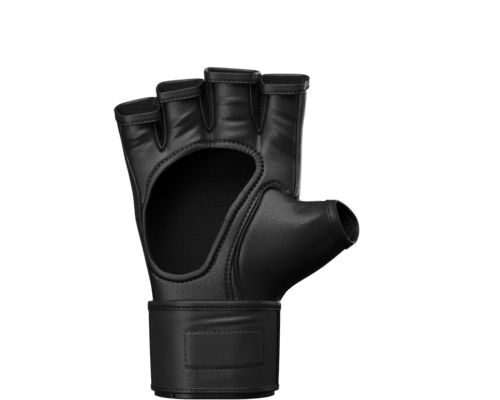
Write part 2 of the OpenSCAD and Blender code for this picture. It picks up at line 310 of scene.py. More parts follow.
def oval(width, height, lift=0.0, sides=14, square=2.6):
    """A rounded outline, `lift` above the path."""
    angle = np.linspace(0, 2 * math.pi, sides, endpoint=False)
    c, s = np.cos(angle), np.sin(angle)
    power = 2 / square
    return np.stack([
        np.sign(c) * np.abs(c) ** power * width / 2, np.sign(s) * np.abs(s) ** power * height / 2 + lift],
        1)


def directions(path, ring=False):
    if ring:
        return unit(np.roll(path, -1, axis=0) - np.roll(path, 1, axis=0))
    return unit(np.gradient(path, axis=0))


# A stitch is rings of points, given as (place along it, size, dip into the leather).
STITCH_SIDES = 6
STITCH_RINGS = np.array([
    (-1, 0.35, -0.5), (-0.7, 0.85, -0.12), (0, 1, 0), (0.7, 0.85, -0.12), (1, 0.35, -0.5)])


def stitches(name, path, up, pitch=3.0, length=2.1, radius=0.46, ring=False):
    """A row of thread stitches along a path on a surface that faces `up`. Each end dives into its hole."""
    if ring:
        path, up = np.vstack([path, path[:1]]), np.vstack([up, up[:1]])
    run = length_along(path)
    count = max(1, int(run[-1] / pitch))
    middle = (np.arange(count) + 0.5) * run[-1] / count
    centre, up = sample(path, run, middle), unit(sample(up, run, middle))
    along = unit(sample(path, run, middle + 0.6) - sample(path, run, middle - 0.6))
    side = np.cross(along, up)
    turn = np.arange(STITCH_SIDES) * 2 * math.pi / STITCH_SIDES
    ring_points = []
    for t, size, dip in STITCH_RINGS:
        spine = centre + along * (t * length / 2) + up * dip
        around = side[:, None] * np.cos(turn)[None, :, None] + up[:, None] * np.sin(turn)[None, :, None]
        ring_points.append(spine[:, None] + around * (radius * size))
    points = np.stack(ring_points, 1).reshape(-1, 3)
    each = len(STITCH_RINGS) * STITCH_SIDES
    one = grid_faces(len(STITCH_RINGS), STITCH_SIDES, ring_cols=True).tolist()
    one += [list(range(STITCH_SIDES))[::-1], list(range(each - STITCH_SIDES, each))]
    faces = [[i + each * k for i in f] for k in range(count) for f in one]
    obj = outward(piece(name, points, faces, thread))
    return obj


# ---------- bodies ----------


def on(obj, body, slot, *nodes):
    """Puts a piece on a body and hides the CAD nodes that it stands for."""
    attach(obj, body)
    return finish(obj, slot, *nodes)


def on_hand(obj, *nodes):
    return on(obj, "hand", "leather", *nodes)


def finish(obj, slot, *nodes):
    if nodes:
        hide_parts(*nodes)
    return obj


# How far above its fold each finger's leather starts to bend
BEND_FROM = (-4, 1, -1.5, -3.5)


def above_fold(i, points):
    """Height above finger i's fold, along the finger."""
    return (np.asarray(points) - fold_at[i]) @ finger_up[i]


def bends(obj, i, slot, *nodes):
    """A piece that runs from the hand into finger i, across the finger's fold. Its place is baked into its
    mesh, and its CAD nodes are hidden.
    """
    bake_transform(obj)
    return finish(obj, slot, *nodes)


THUMB_ALONG = np.cross(joint_axis["thumb_curl"], (0, 1, 0))
THUMB_ALONG = THUMB_ALONG * np.sign(THUMB_ALONG[0])


def bends_thumb(obj, slot, *nodes):
    """A piece that runs from the hand into the thumb's sleeve, across the thumb's fold. Its place is baked
    into its mesh, and its CAD nodes are hidden.
    """
    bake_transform(obj)
    return finish(obj, slot, *nodes)


# ---------- materials ----------


def linear(code):
    """A #rrggbb colour as linear red, green, blue and alpha."""
    parts = [int(code[k : k + 2], 16) / 255 for k in (1, 3, 5)]
    return [p / 12.92 if p <= 0.04045 else ((p + 0.055) / 1.055) ** 2.4 for p in parts] + [1.0]


def add(tree, kind, settings=None, links=None):
    """Adds a node. A setting is a socket's value where the node has a socket of that name or number."""
    node = tree.nodes.new(kind)
    for key, value in (settings or {}).items():
        if isinstance(key, int) or key in node.inputs:
            node.inputs[key].default_value = value
        else:
            setattr(node, key, value)
    for key, socket in (links or {}).items():
        tree.links.new(socket, node.inputs[key])
    return node


def new_material(name):
    """A material with an empty tree, and its place coordinates, in metres on the object."""
    material = bpy.data.materials.new(name)
    material.use_nodes = True
    tree = material.node_tree
    tree.nodes.clear()
    return material, tree, add(tree, "ShaderNodeTexCoord").outputs["Object"]


# A wave texture's bands lie this far apart at a scale of 1.
WAVE = 6.28


def per_mm(size):
    """The scale at which a texture's features are this many millimetres wide."""
    return 1 / (size * MM)


def surface(material, tree, tones, by, relief, height, shine, links=None):
    """Gives a material its two tones, its relief and its shine, and returns it."""
    bump = add(tree, "ShaderNodeBump", relief, {"Height": height})
    dark, light = (linear(code) for code in tones)
    tone = add(tree, "ShaderNodeMix", {"data_type": "RGBA", 6: dark, 7: light}, {0: by})
    joins = {"Base Color": tone.outputs[2], "Normal": bump.outputs[0], **(links or {})}
    shader = add(tree, "ShaderNodeBsdfPrincipled", shine, joins)
    add(tree, "ShaderNodeOutputMaterial", None, {"Surface": shader.outputs[0]})
    return material


def coated_leather(name, dark, light, gloss, grain=0.5):
    """Polyurethane-coated leather with a pressed grain: satin, soft mottling, highlights that break up."""
    material, tree, place = new_material(name)
    at = {"Vector": place}
    pebbles = add(tree, "ShaderNodeTexVoronoi", {"feature": "SMOOTH_F1", "Scale": per_mm(1.1)}, at)
    pores = add(tree, "ShaderNodeTexNoise", {"Scale": per_mm(0.5), "Detail": 3.0}, at)
    cloud = add(tree, "ShaderNodeTexNoise", {"Scale": per_mm(14), "Detail": 4.0}, at).outputs["Fac"]
    height = add(
        tree, "ShaderNodeMath", {"operation": "MULTIPLY_ADD", 1: 0.45},
        {0: pores.outputs["Fac"], 2: pebbles.outputs["Distance"]},
    )
    rough = add(tree, "ShaderNodeMapRange", {"To Min": gloss - 0.05, "To Max": gloss + 0.07},
        {"Value": cloud})
    return surface(
        material, tree, (dark, light), cloud, {"Strength": grain, "Distance": 0.00018}, height.outputs[0],
        {"IOR": 1.5, "Specular IOR Level": 0.5}, {"Roughness": rough.outputs[0]},
    )


def textile(name, dark, light, across, along, depth, sheen):
    """Black polyester cloth: ribs one way and rows the other, dull, with a soft nap at grazing angles."""
    material, tree, place = new_material(name)
    at = {"Vector": place}
    ribs = add(tree, "ShaderNodeTexWave", {"Scale": per_mm(across) / WAVE, "Distortion": 1.5,
        "Detail": 2.0}, at)
    weft = {"bands_direction": "Z", "Scale": per_mm(along) / WAVE, "Distortion": 1.5}
    rows = add(tree, "ShaderNodeTexWave", weft, at)
    height = add(tree, "ShaderNodeMath", {"operation": "ADD"}, {0: ribs.outputs["Fac"],
        1: rows.outputs["Fac"]})
    # The cloth's tone follows the height of its ribs and rows, so the grooves between them are painted shade.
    return surface(
        material, tree, (dark, light), height.outputs[0], {"Strength": 0.6, "Distance": depth * MM},
        height.outputs[0],
        {"Roughness": 0.9, "Specular IOR Level": 0.2, "Sheen Weight": sheen, "Sheen Roughness": 0.5},
    )


def pile_tape(name, hook_size, light):
    """Hook or loop tape: a dense pile of nylon ends, shown as small bumps with a faint nylon shine."""
    material, tree, place = new_material(name)
    ends = add(tree, "ShaderNodeTexVoronoi", {"Scale": per_mm(hook_size)},
        {"Vector": place}).outputs["Distance"]
    # The tone follows the pile's bumps: the lows between the nylon ends are painted shade.
    return surface(material, tree, (light, "#08080a"), ends, {"Strength": 0.9, "Distance": 0.0005,
        "invert": True}, ends, {"Roughness": 0.6, "Sheen Weight": 0.1},)


def closed_cell_foam():
    """Grey closed-cell foam, cut with a knife: matt, with open cut cells half a millimetre wide."""
    material, tree, place = new_material("closed_cell_foam")
    cells = add(tree, "ShaderNodeTexVoronoi", {"Scale": per_mm(0.6)}, {"Vector": place}).outputs["Distance"]
    # The tone follows the cells' relief: each cut cell's hollow is painted shade, darker than its rim.
    return surface(
        material, tree, ("#3c3d40", "#55575b"), cells, {"Strength": 0.5, "Distance": 0.0002}, cells,
        {"Roughness": 0.85},
    )


def bonded_thread():
    """Bonded nylon thread, waxed black: it lies sunk in its channel and reads as a dark dash."""
    material, tree, place = new_material("bonded_nylon_thread")
    twist = add(tree, "ShaderNodeTexNoise", {"Scale": per_mm(0.4), "Detail": 1.0}, {"Vector": place})
    bump = add(tree, "ShaderNodeBump", {"Strength": 0.4, "Distance": 0.0001},
        {"Height": twist.outputs["Fac"]})
    wax = {"Base Color": linear("#080809"), "Roughness": 0.7, "Specular IOR Level": 0.2}
    shader = add(tree, "ShaderNodeBsdfPrincipled", wax, {"Normal": bump.outputs[0]})
    add(tree, "ShaderNodeOutputMaterial", None, {"Surface": shader.outputs[0]})
    return material


leather = coated_leather("coated_leather", "#1b1b1c", "#252526", 0.37)
trim_leather = coated_leather("coated_leather_trim", "#1c1c1e", "#252527", 0.4)
# The strap's leather has a coarser grain than the hand's. Its two tones are set lighter than the hand's as
# painted light, to brighten the strap.
strap_leather_painted_light = coated_leather("coated_leather_strap_painted_light", "#232324", "#2d2d2f", 0.42, 0.7)
knit = textile("knitted_polyester", "#0c0c0d", "#1b1b1d", 1.2, 1.6, 0.2, 0.12)
gusset_mesh = textile("stretch_gusset_cloth", "#0b0b0c", "#202022", 1.0, 1.0, 0.3, 0.05)
webbing = textile("woven_nylon_webbing", "#0e0e10", "#242427", 1.4, 1.4, 0.35, 0.1)
hook_tape = pile_tape("nylon_hook_tape", 1.1, "#2a2a2d")
loop_tape = pile_tape("nylon_loop_tape", 0.7, "#222225")
foam = closed_cell_foam()
thread = bonded_thread()

# ---------- camera, first because the rest is seen from it ------------

camera_data = bpy.data.cameras.new("camera")
camera_data.sensor_width = 36
camera_data.lens = 36 * 1030 / 320
camera = bpy.data.objects.new("camera", camera_data)
camera.location = Vector((22.7, -1050, 127)) * MM
camera.rotation_euler = (math.pi / 2, 0, 0)
bpy.context.scene.collection.objects.link(camera)
bpy.context.scene.camera = camera

# ---------- palm side ----------

# Outermost line of the glove on each side, as (height, x). The thumb side goes on into the thumb.
little_edge = profile([
    (40, -38), (61, -40.5), (75, -43.5), (91, -46.6), (105, -50), (117, -52), (133, -53.6), (146, -55.7),
    (160, -59), (168, -61), (175, -62), (200, -62.5)])
index_edge = profile([
    (40, 84), (95, 80), (108, 74), (120, 62), (130, 56.5), (146, 56), (159, 56.6), (172, 57.3),
    (185, 58.6), (210, 59.6)])
palm_line = profile([
    (40, -25), (62, -26), (80, -26.8), (100, -27), (120, -25.5), (140, -21.5), (155, -17.5), (170, -15.5),
    (185, -15.6), (215, -17)])
TAB_HALF_W = (12, 12.6, 13.4, 12.2)
PALM_FOLDS = (
    ((-57, 158), (-48, 160), (-40, 167), 2.2, -0.9), ((-58, 166), (-48, 167), (-41, 173), 1.8, 0.8),
    ((-30, 163), (-20, 168), (-9, 178), 2.2, -1.1), ((-31, 173), (-22, 177), (-11, 186), 2.0, 0.9),
    ((-27, 153), (-16, 160), (-6, 168), 2.6, 1.1), ((1, 178), (12, 177), (24, 179), 2.2, -0.9),
    ((0, 190), (12, 191), (23, 190), 2.2, 0.7), ((33, 186), (43, 180), (53, 176), 2.4, -1.0),
    ((34, 176), (44, 168), (54, 163), 2.4, 0.9), ((36, 165), (46, 156), (54, 150), 2.8, -0.9),
    ((-2, 168), (12, 166), (26, 170), 3.0, 0.7),
)


def tab_centre(i, z):
    return fold_at[i][0] + (z - fold_at[i][2]) * finger_up[i][0]


def palm_y(xz):
    """Depth of the palm leather's outer face."""
    x, z = xz[:, 0], xz[:, 1]
    low, high = little_edge(z), index_edge(z)
    across = np.abs(np.clip((2 * x - low - high) / (high - low), -0.999, 0.999))
    in_fingers = ease(z, 150, 174)
    fall = 17 * (1 - (1 - across**3.2) ** (1 / 3.2)) * (1 - 0.75 * in_fingers)
    round_tabs = np.full(len(x), 1e9)
    for i, half in enumerate(TAB_HALF_W):
        away = np.abs(x - tab_centre(i, z)) / half
        tube = 6.5 * (1 - np.sqrt(1 - 0.93 * np.minimum(away, 1) ** 2)) + 7 * np.maximum(away - 1, 0)
        round_tabs = np.minimum(round_tabs, tube)
    thumb_muscle = 4.5 * hump(x - 16, 20) * hump(z - 97, 34)
    return palm_line(z) + fall + in_fingers * round_tabs - thumb_muscle - folds(xz, PALM_FOLDS)


def on_palm(xz, lift=0.0):
    """Points on the palm leather, and its outward direction there."""
    xz = np.asarray(xz, float)
    step = 0.2
    dx = (palm_y(xz + [step, 0]) - palm_y(xz - [step, 0])) / (2 * step)
    dz = (palm_y(xz + [0, step]) - palm_y(xz - [0, step])) / (2 * step)
    up = unit(np.stack([dx, -np.ones(len(xz)), dz], 1))
    return np.stack([xz[:, 0], palm_y(xz), xz[:, 1]], 1) + up * lift, up


palm_left = curve([
    (-38.5, 57), (-40.5, 73), (-43.5, 88), (-45.5, 103), (-47.5, 115), (-48.5, 128), (-51.5, 140),
    (-55.5, 150), (-58.5, 160), (-60.6, 170), (-61.2, 179.5)])
# Both edges of each gap between two fingers, which meet in a V
GAPS = (
    (curve([(-38.3, 183.2), (-38.7, 175.7), (-36.8, 165.4), (-34.2, 159.5)]),
     curve([(-34.2, 159.5), (-32, 164), (-31.7, 171.8), (-33.2, 185), (-34.2, 194)])),
    (curve([(-9.9, 199.5), (-9.3, 191), (-7.4, 181.4), (-5.4, 175), (-3.5, 171.8)]),
     curve([(-3.5, 171.8), (-1, 176), (-1, 181.4), (-1.6, 191), (-2.8, 207.5)])),
    (curve([(22.9, 207.4), (23, 199), (23.4, 191), (24.6, 181.4), (28.8, 170.6)]),
     curve([(28.8, 170.6), (31, 177), (32.3, 184.6), (33.3, 193), (33.4, 200)])),
)
palm_right = curve([
    (55, 200.4), (54.6, 192), (54.3, 184), (53.6, 172), (53.2, 159), (53, 146), (52.6, 137), (51.5, 130),
    (48.3, 127.7)])
thumb_seam_top = curve([
    (48.3, 127.7), (45.1, 130.2), (42.6, 133.4), (38.7, 135.6), (34.4, 135.6), (30.6, 132.5)])
thumb_seam_side = curve([
    (30.6, 132.5), (27.8, 125), (24, 117.5), (20.8, 111), (18.2, 105.5), (16, 99), (14.4, 92),
    (13.8, 85.4), (14.6, 78.5), (16.3, 72.6), (18.6, 67.5), (22, 57)])
thumb_seam = np.vstack([thumb_seam_top[:-1], thumb_seam_side])
palm_outline = chain(palm_left, *sum(GAPS, ()), palm_right, thumb_seam_top, thumb_seam_side)
opening = curve([
    (-2.9, 160), (3.5, 160.2), (13, 159), (19.5, 157), (24, 154.6), (26, 151.4), (26.5, 147.5),
    (25.8, 145), (22.7, 139.8), (18.9, 134.7), (13.8, 127), (10, 121.6), (6.7, 114.9), (3.5, 107.8),
    (0.3, 101.4), (-2.9, 94.4), (-6, 87.5), (-9.3, 83.5), (-12.5, 81.9), (-18.9, 79.8), (-23.4, 79.4),
    (-28.5, 80.3), (-33.6, 82.2), (-38.1, 86.7), (-40.7, 91.8), (-42.6, 98.2), (-43.6, 104.6),
    (-43.9, 117.4), (-43.3, 121.9), (-41.4, 128.3), (-40.1, 133.4), (-37.5, 138.6), (-34.9, 142.4),
    (-31.7, 146.2), (-28.5, 148.8), (-22.1, 153.3), (-15.7, 156.5), (-9.3, 159.1)], 0.6, ring=True)
# The binding is narrow beside the little finger's edge, where the leather is only a thin strip.
narrow = ease(-opening[:, 0], 33, 41) * ease(opening[:, 1], 84, 96) * (1 - ease(opening[:, 1], 130, 142))
binding_w = BINDING_W - 1.9 * narrow
outer_groove = grown(opening, (binding_w + 0.5)[:, None])
# Two stitch rows hold the palm leather down over the thumb's panel.
seam_outer_row = curve([
    (46.5, 133), (42.5, 137), (38.5, 138.4), (34, 137.6), (30, 134.5), (26, 128), (21.5, 119.5),
    (17.5, 111), (14, 102.5), (11.2, 95), (9.2, 88), (8, 80), (8.4, 71), (9.8, 63.5)])
seam_inner_row = curve([
    (27, 124), (22.6, 114.5), (18.6, 106.5), (14.7, 98), (12.4, 91), (10.9, 84), (10.7, 77), (11.6, 70),
    (13.2, 64)])

# A dart runs down from the bottom of the gap beside the index finger.
index_dart = curve([(28.8, 169.5), (29.2, 164), (29.3, 159)])

flat, triangles = fill([palm_outline, grown(opening, 2)], 0.85)
leather_points = np.stack([flat[:, 0], palm_y(flat), flat[:, 1]], 1)
# The leather turns in at its edges, and each stitch row pulls a shallow channel.
leather_points[:, 1] += 1.1 * hump(nearest(flat, palm_outline, ring=True)[0], 1.3)
between_rows = curve([(30, 131), (24, 120), (17.5, 107), (12.4, 96), (10, 86), (9.5, 76), (11, 64)])
CHANNELS = (
    (outer_groove, 0.8, 0.75), (seam_outer_row, 0.6, 0.75), (seam_inner_row, 0.6, 0.75),
    (index_dart, 0.15, 0.75), (between_rows, -0.35, 1.4),
)
for row, depth, width in CHANNELS:
    leather_points[:, 1] += depth * hump(nearest(flat, row, ring=row is outer_groove)[0], width)
# Lines that part the fingers: where each is at 160 mm up, and how far it leans for each millimetre above
GAP_X = (-99, -34.2, -3.5, 28.8, 99)
GAP_LEAN = (0, -0.1, -0.1, 0.02, 0)


def owner_of(points):
    """The finger that a point belongs to, or -1 for the hand. Fingers start where their bend starts."""
    owner = np.full(len(points), -1)
    rise = np.clip(points[:, 2] - 160, 0, 60)
    for i in range(4):
        low, high = (GAP_X[k] + rise * GAP_LEAN[k] for k in (i, i + 1))
        between_lines = (points[:, 0] > low) & (points[:, 0] < high)
        owner[between_lines & (above_fold(i, points) > BEND_FROM[i] - 1)] = i
    return owner


def cut_at_folds(hand_name, ending, points, faces, toward, thickness, material, slot):
    """Cuts one sheet where the fingers start to bend. The hand's part goes on the hand's body, and each
    finger's part has its place baked into its mesh.
    """
    faces = facing(points, faces, toward)
    normals = surface_normals(points, faces)
    owner = owner_of(points[faces].mean(1))
    cut = []
    for i in range(-1, 4):
        name = FINGERS[i] + ending if i >= 0 else hand_name
        part = sheet(name, points, faces[owner == i], thickness, material, normals)
        if i < 0:
            on(part, "hand", slot, name)
        else:
            bends(part, i, slot, name)
        cut.append((part, faces[owner == i]))
    return cut


cut_at_folds("palm_panel", "_front_panel", leather_points, triangles, -1, LEATHER_T, leather, "leather")

# Rolled binding round the palm opening, gathered at the tight corner under the index finger
rim_line = grown(opening, (binding_w / 2 - 0.2)[:, None])
rim_path, rim_up = on_palm(rim_line, -0.3)
rim_side = np.cross(directions(rim_path, ring=True), rim_up)
corner = hump(np.hypot(rim_path[:, 0] - 27.5, rim_path[:, 2] - 152), 9)
gathers = np.sin(length_along(rim_path) * 2 * math.pi / 2.5) * corner
rim_outline = oval(1, 3.0, 0.1, 18, 3.4)[None] * (1 + 0.22 * gathers[:, None, None])
rim_outline = rim_outline * np.stack([binding_w, np.ones(len(rim_path))], 1)[:, None]
binding = roll("palm_opening_binding", rim_path, rim_side, rim_up, rim_outline, trim_leather)
on_hand(binding, "palm_opening_binding")

# The binding's two ends lap on the thumb side and meet again under the middle finger.
at = np.nonzero((rim_path[:, 2] > 113) & (rim_path[:, 2] < 131.5) & (rim_path[:, 0] > 0))[0]
lap_outline = oval(BINDING_W + 0.7, 3.5, 0.3, 18, 3.4)
lap = roll("palm_opening_lap", rim_path[at], rim_side[at], rim_up[at], lap_outline, trim_leather, ring=False)
on_hand(lap)


def sewn_on_palm(name, line, lift=-0.3, ring=False, **kind):
    path, up = on_palm(line)
    on_hand(stitches(name, path + up * lift, up, ring=ring, **kind))


def roll_on_palm(name, line, lift, outline, material):
    """A thin open roll along a line on the palm leather."""
    path, up = on_palm(line, lift)
    return roll(name, path, np.cross(directions(path), up), up, outline, material, ring=False)


sewn_on_palm("palm_opening_stitches", outer_groove, ring=True)
lap_row = grown(opening, BINDING_W * 0.72)[at]
sewn_on_palm("palm_opening_lap_stitches", lap_row, lift=1.6)
# The palm leather's folded edge stands over the thumb's panel as a thin bead.
on_hand(roll_on_palm("thumb_seam_bead", thumb_seam, 0.0, oval(1.3, 1.5, 0, 10, 2), trim_leather))
sewn_on_palm("thumb_seam_outer_stitches", seam_outer_row)
sewn_on_palm("thumb_seam_inner_stitches", seam_inner_row)
# A thin roll of black thread runs down the middle dart and on over the binding, where its two ends meet. It
# is painted shade: a dark line for the shaded crease along the dart's seam and across the binding's join.
DART_SHADE_LINES = (
    ("middle_dart_shade_line", straight((-3.7, 170.8), (-2.7, 164.2)), 0.0),
    ("binding_join_shade_line", straight((-2.7, 164.6), (-2.3, 160.2)), 1.35),
)
for name, line, lift in DART_SHADE_LINES:
    on_hand(roll_on_palm(name, line, lift, oval(0.9, 0.8), thread))
# A small tack of thread closes the bottom of each gap.
TACK = np.array([(-1.2, 0.6), (-0.9, -0.9), (0, -1.6), (0.9, -0.9), (1.2, 0.6)])
for k, gap in enumerate(GAPS):
    tack = curve(TACK + gap[0][-1], 0.4)
    sewn_on_palm(f"gap_tack_{k}", tack, lift=0.1, pitch=0.9, length=0.9, radius=0.35)

# ---------- back side ----------

back_left = curve([
    (-38.3, 57), (-40, 64), (-46, 90), (-51.3, 111), (-53.3, 133), (-58.3, 157), (-61.5, 172), (-63, 181),
    (-62.6, 189)])
back_right = curve([
    (59.2, 208.5), (59.6, 198), (58.8, 186), (57, 172), (55.9, 146), (55.4, 134), (54.6, 124)])
thumb_back = curve([(54.6, 124), (54.3, 114), (52.5, 101), (49.5, 86), (45, 72), (41.5, 62), (39.5, 57)])
BACK_GAPS = (
    (curve([(-38.6, 195), (-37.6, 188), (-35.3, 170), (-34.4, 159.5)]),
     curve([(-34.4, 159.5), (-34.9, 170), (-36.7, 188), (-35.6, 203.5)])),
    (curve([(-9.5, 206.3), (-7.3, 197), (-4.6, 181), (-3.6, 171.8)]),
     curve([(-3.6, 171.8), (-4.2, 181), (-6, 199), (-4, 213.3)])),
    (curve([(26.5, 211.3), (28.6, 203), (28.6, 188), (28.8, 170.6)]),
     curve([(28.8, 170.6), (29.2, 188), (29.9, 202), (31.8, 208.8)])),
)
back_outline = chain(back_left, *sum(BACK_GAPS, ()), back_right, thumb_back)


def back_y(xz):
    """Depth of the back leather, under the pads."""
    away = nearest(xz, back_outline, ring=True)[0]
    crown = 3.5 * ease(away, 0, 9) * (1 - ease(xz[:, 1], 150, 166))
    return 10.3 + crown


def on_back(xz, lift=0.0):
    return np.stack([xz[:, 0], back_y(xz) + lift, xz[:, 1]], 1)


flat, triangles = fill([back_outline], 2.6)
cut_at_folds("back_shell", "_back_cover", on_back(flat), triangles, 1, LEATHER_T, leather, "leather")

# Knitted lining, sewn in at the edges and a little wavy, inside the back leather
lining_points = on_back(flat, -1.9)
lining_points[:, 1] -= 0.5 * np.sin(flat[:, 0] / 7) * np.sin(flat[:, 1] / 11)


linings = cut_at_folds("back_lining", "_lining", lining_points, triangles, -1, KNIT_T, knit, "lining_fabric")

# ---------- sides and gussets ----------

GUSSET_ROWS = 60


def side_grid(front, back, bulge, cols=14):
    """A strip from the palm leather's edge to the back leather's edge, bowed by `bulge` half way."""
    count = max(len(front), GUSSET_ROWS)
    front, back = respace(front, count=count), respace(back, count=count)
    bulge = sample(bulge, np.linspace(0, 1, len(bulge)), np.linspace(0, 1, count))
    c = np.linspace(0, 1, cols)[None, :, None]
    return front[:, None] * (1 - c) + back[:, None] * c + 4 * c * (1 - c) * bulge[:, None]


def outer_side(front_line, back_line, fullness, i, falling):
    """An outer side of the glove, and the row where it passes from the hand to finger i."""
    front = on_palm(front_line, -1.0)[0]
    bulge = profile(fullness)(front[:, 2])[:, None] * (1, 0, 0)
    grid = side_grid(front, on_back(back_line, -0.6), bulge)
    high = above_fold(i, grid.mean(1)) > BEND_FROM[i] - 1
    return grid, int(np.argmax(~high if falling else high))


# The fullness of each outer side is given as (height, bulge).
little_fullness = [
    (57, -1.0), (75, -1.2), (100, -1.6), (115, -2.4), (133, -2.9), (150, -2.6), (165, -2.2), (180, -3.4)]
grid, cut = outer_side(palm_left, back_left, little_fullness, 0, False)
# A short thread marks where the side's seam ends.
row = int(np.argmin(np.abs(grid[:, 3, 2] - 114.4)))
mark = grid[row, :8]
mark_out = np.cross(directions(mark), (0, 0, 1.0))
mark_out *= -np.sign(mark_out[:, :1])
mark_up = np.repeat([[0, 0, 1.0]], 8, 0)
on_hand(roll("little_side_seam_end", mark, mark_up, mark_out, oval(0.7, 0.8), thread, ring=False))
gusset = skin("little_side_gusset", grid, LEATHER_T, leather, rows=(0, cut), flip=True)
on_hand(gusset, "little_side_gusset")
bends(skin("little_outer_side", grid, LEATHER_T, leather, rows=(cut, len(grid)), flip=True), 0, "leather")

index_fullness = [(120, 1.5), (128, 1.7), (140, 2.0), (160, 2.0), (175, 2.0), (190, 2.4), (205, 3.0)]
grid, cut = outer_side(palm_right, back_right, index_fullness, 3, True)
gusset = skin("index_side_gusset", grid, LEATHER_T, leather, rows=(cut, len(grid)), flip=True)
on_hand(gusset, "index_side_gusset")
bends(skin("index_outer_side", grid, LEATHER_T, leather, rows=(0, cut), flip=True), 3, "leather")

# Neighbouring gussets bow towards each other and just touch, on a line from the gap's V to the hems.
MEETING_LEAN = (-0.1, -0.1, 0.025)
gusset_parts = [[] for _ in FINGERS]
for g in range(3):
    v_x, v_z = GAPS[g][1][0]
    for half, side in ((0, -1), (1, 1)):
        front = respace(on_palm(GAPS[g][half], -1.0)[0], count=GUSSET_ROWS)
        back = respace(on_back(BACK_GAPS[g][half], -0.6), count=GUSSET_ROWS)
        middle = (front + back) / 2
        meeting_x = v_x + MEETING_LEAN[g] * (middle[:, 2] - v_z) - side * 0.15
        bulge = (meeting_x - middle[:, 0])[:, None] * (1, 0, 0)
        gusset_parts[g + half].append(side_grid(front, back, bulge, 16))
for i, finger in enumerate(FINGERS):
    all_points, all_faces = [], []
    for grid in gusset_parts[i]:
        faces = grid_faces(*grid.shape[:2])[:, ::-1]
        all_faces.append(faces + sum(len(p) for p in all_points))
        all_points.append(grid.reshape(-1, 3))
    gusset = sheet(finger + "_gussets", np.vstack(all_points), np.vstack(all_faces), 0.8, gusset_mesh)
    bends(gusset, i, "lining_fabric", finger + "_gussets")

# Piping along the palm leather's outer edges
for i, line in ((0, palm_left), (3, palm_right)):
    edge = roll_on_palm(FINGERS[i] + "_edge_piping", line, -0.1, oval(1.2, 1.5, 0, 8, 2), trim_leather)
    bends(edge, i, "leather")

# Piping along both edges of each gap
for g in range(3):
    for half in (0, 1):
        i, finger = g + half, FINGERS[g + half]
        welt = oval(1.2, 1.4, 0, 8, 2)
        bends(roll_on_palm(f"{finger}_piping_{half}", GAPS[g][half], 0.0, welt, trim_leather), i, "leather")
        path, up = on_palm(GAPS[g][half])
        inward = np.cross(directions(path), up) * (1, 0, 1)
        inward *= np.sign((inward[:, 0] * (tab_centre(i, path[:, 2]) - path[:, 0])).sum())
        row, row_up = on_palm((path + inward * 1.5)[:, [0, 2]], -0.1)
        bends(stitches(f"{finger}_edge_stitches_{half}", row, row_up, 2.6, 1.7, 0.3), i, "leather")

# ---------- finger hems ----------

# Each hem's outline seen along the finger, as (x, depth), and its top at the front left, front right,
# back left and back right corners
HEMS = (
    ([(-59.8, -15.5), (-55, -17.6), (-44, -17.9), (-37.6, -16.6), (-35.9, -12), (-35.6, -3), (-37.4, 6),
      (-44, 11), (-56, 11), (-63, 8.5), (-65.4, 1), (-63.8, -7), (-61.4, -12.2)], (180, 184.3, 190, 196)),
    ([(-36.2, -15.2), (-32, -17.5), (-20, -17.9), (-12.6, -17), (-10.6, -14.5), (-9.4, -8), (-8, 0),
      (-8.6, 7), (-13, 10.6), (-20, 11), (-31, 10.8), (-36.4, 7.5), (-37.6, -3)],
     (195.3, 200.4, 204.6, 207.3)),
    ([(-4.6, -14.5), (-1, -17.8), (11, -18.4), (21, -18), (24.8, -15.6), (26.6, -9), (28.5, -1), (27.8, 6),
      (23.5, 10.3), (12, 11), (1, 10.8), (-4.5, 8), (-6.2, -3)], (209.2, 207.8, 214.6, 212.3)),
    ([(31.5, -15), (36, -17.5), (45, -18), (53.4, -17.4), (56.6, -14.4), (58.6, -8), (60.9, -1), (60.2, 6),
      (56.5, 10), (46, 11), (36, 10.8), (31.2, 8), (29.8, -3)], (201.2, 201.4, 209.8, 209.8)),
)
HEM_H = 6.6
HEM_BAND = np.array([
    (0.95, -0.3), (0.8, 0.02), (0.45, 0.2), (-0.1, 0.2), (-0.5, 0.02), (-0.7, -0.5), (-0.9, -2.5),
    (-1.3, -5), (-1.3, -HEM_H), (0.5, -HEM_H), (0.9, -HEM_H + 0.3), (0.95, -5.7), (0.5, -5.1),
    (0.85, -4.5), (0.95, -3), (0.8, -1.6), (1.0, -0.9)])
for i, finger in enumerate(FINGERS):
    outline, tops = HEMS[i]
    flat = curve(outline, 1.0, ring=True)
    x_share = (flat[:, 0] - flat[:, 0].min()) / np.ptp(flat[:, 0])
    y_share = (flat[:, 1] + 17) / 27
    low = tops[0] * (1 - x_share) + tops[1] * x_share
    high = tops[2] * (1 - x_share) + tops[3] * x_share
    top = low * (1 - y_share) + high * y_share
    loop = np.stack([flat[:, 0], flat[:, 1], top], 1)
    up = np.repeat(finger_up[i][None], len(loop), 0)
    side = unit(np.cross(directions(loop, ring=True), up))
    loop += side * 0.1 * np.sin(length_along(loop) / 5 + i)[:, None]
    bends(roll(finger + "_hem", loop, side, up, HEM_BAND, trim_leather), i, "leather", finger + "_hem")
    bends(stitches(finger + "_hem_stitches", loop + side * 0.75 - up * 5.1, side, ring=True), i, "leather")

# ---------- thumb ----------

AROUND = 132


def marked(line, marks):
    """A closed line as AROUND points, with each mark at its own fixed place in the list."""
    run_line = np.vstack([line, line[:1]])
    run = length_along(run_line)
    starts = [int(np.argmin(np.linalg.norm(line - m, axis=1))) for m in np.asarray(marks, float)]
    ends = starts[1:] + [len(line)]
    each = AROUND // len(starts)
    at = [np.linspace(run[a], run[b], each, endpoint=False) for a, b in zip(starts, ends)]
    return sample(run_line, run, np.concatenate(at))


def smoothed(loop, times):
    for _ in range(times):
        loop = loop * 0.5 + (np.roll(loop, 1, axis=0) + np.roll(loop, -1, axis=0)) * 0.25
    return loop


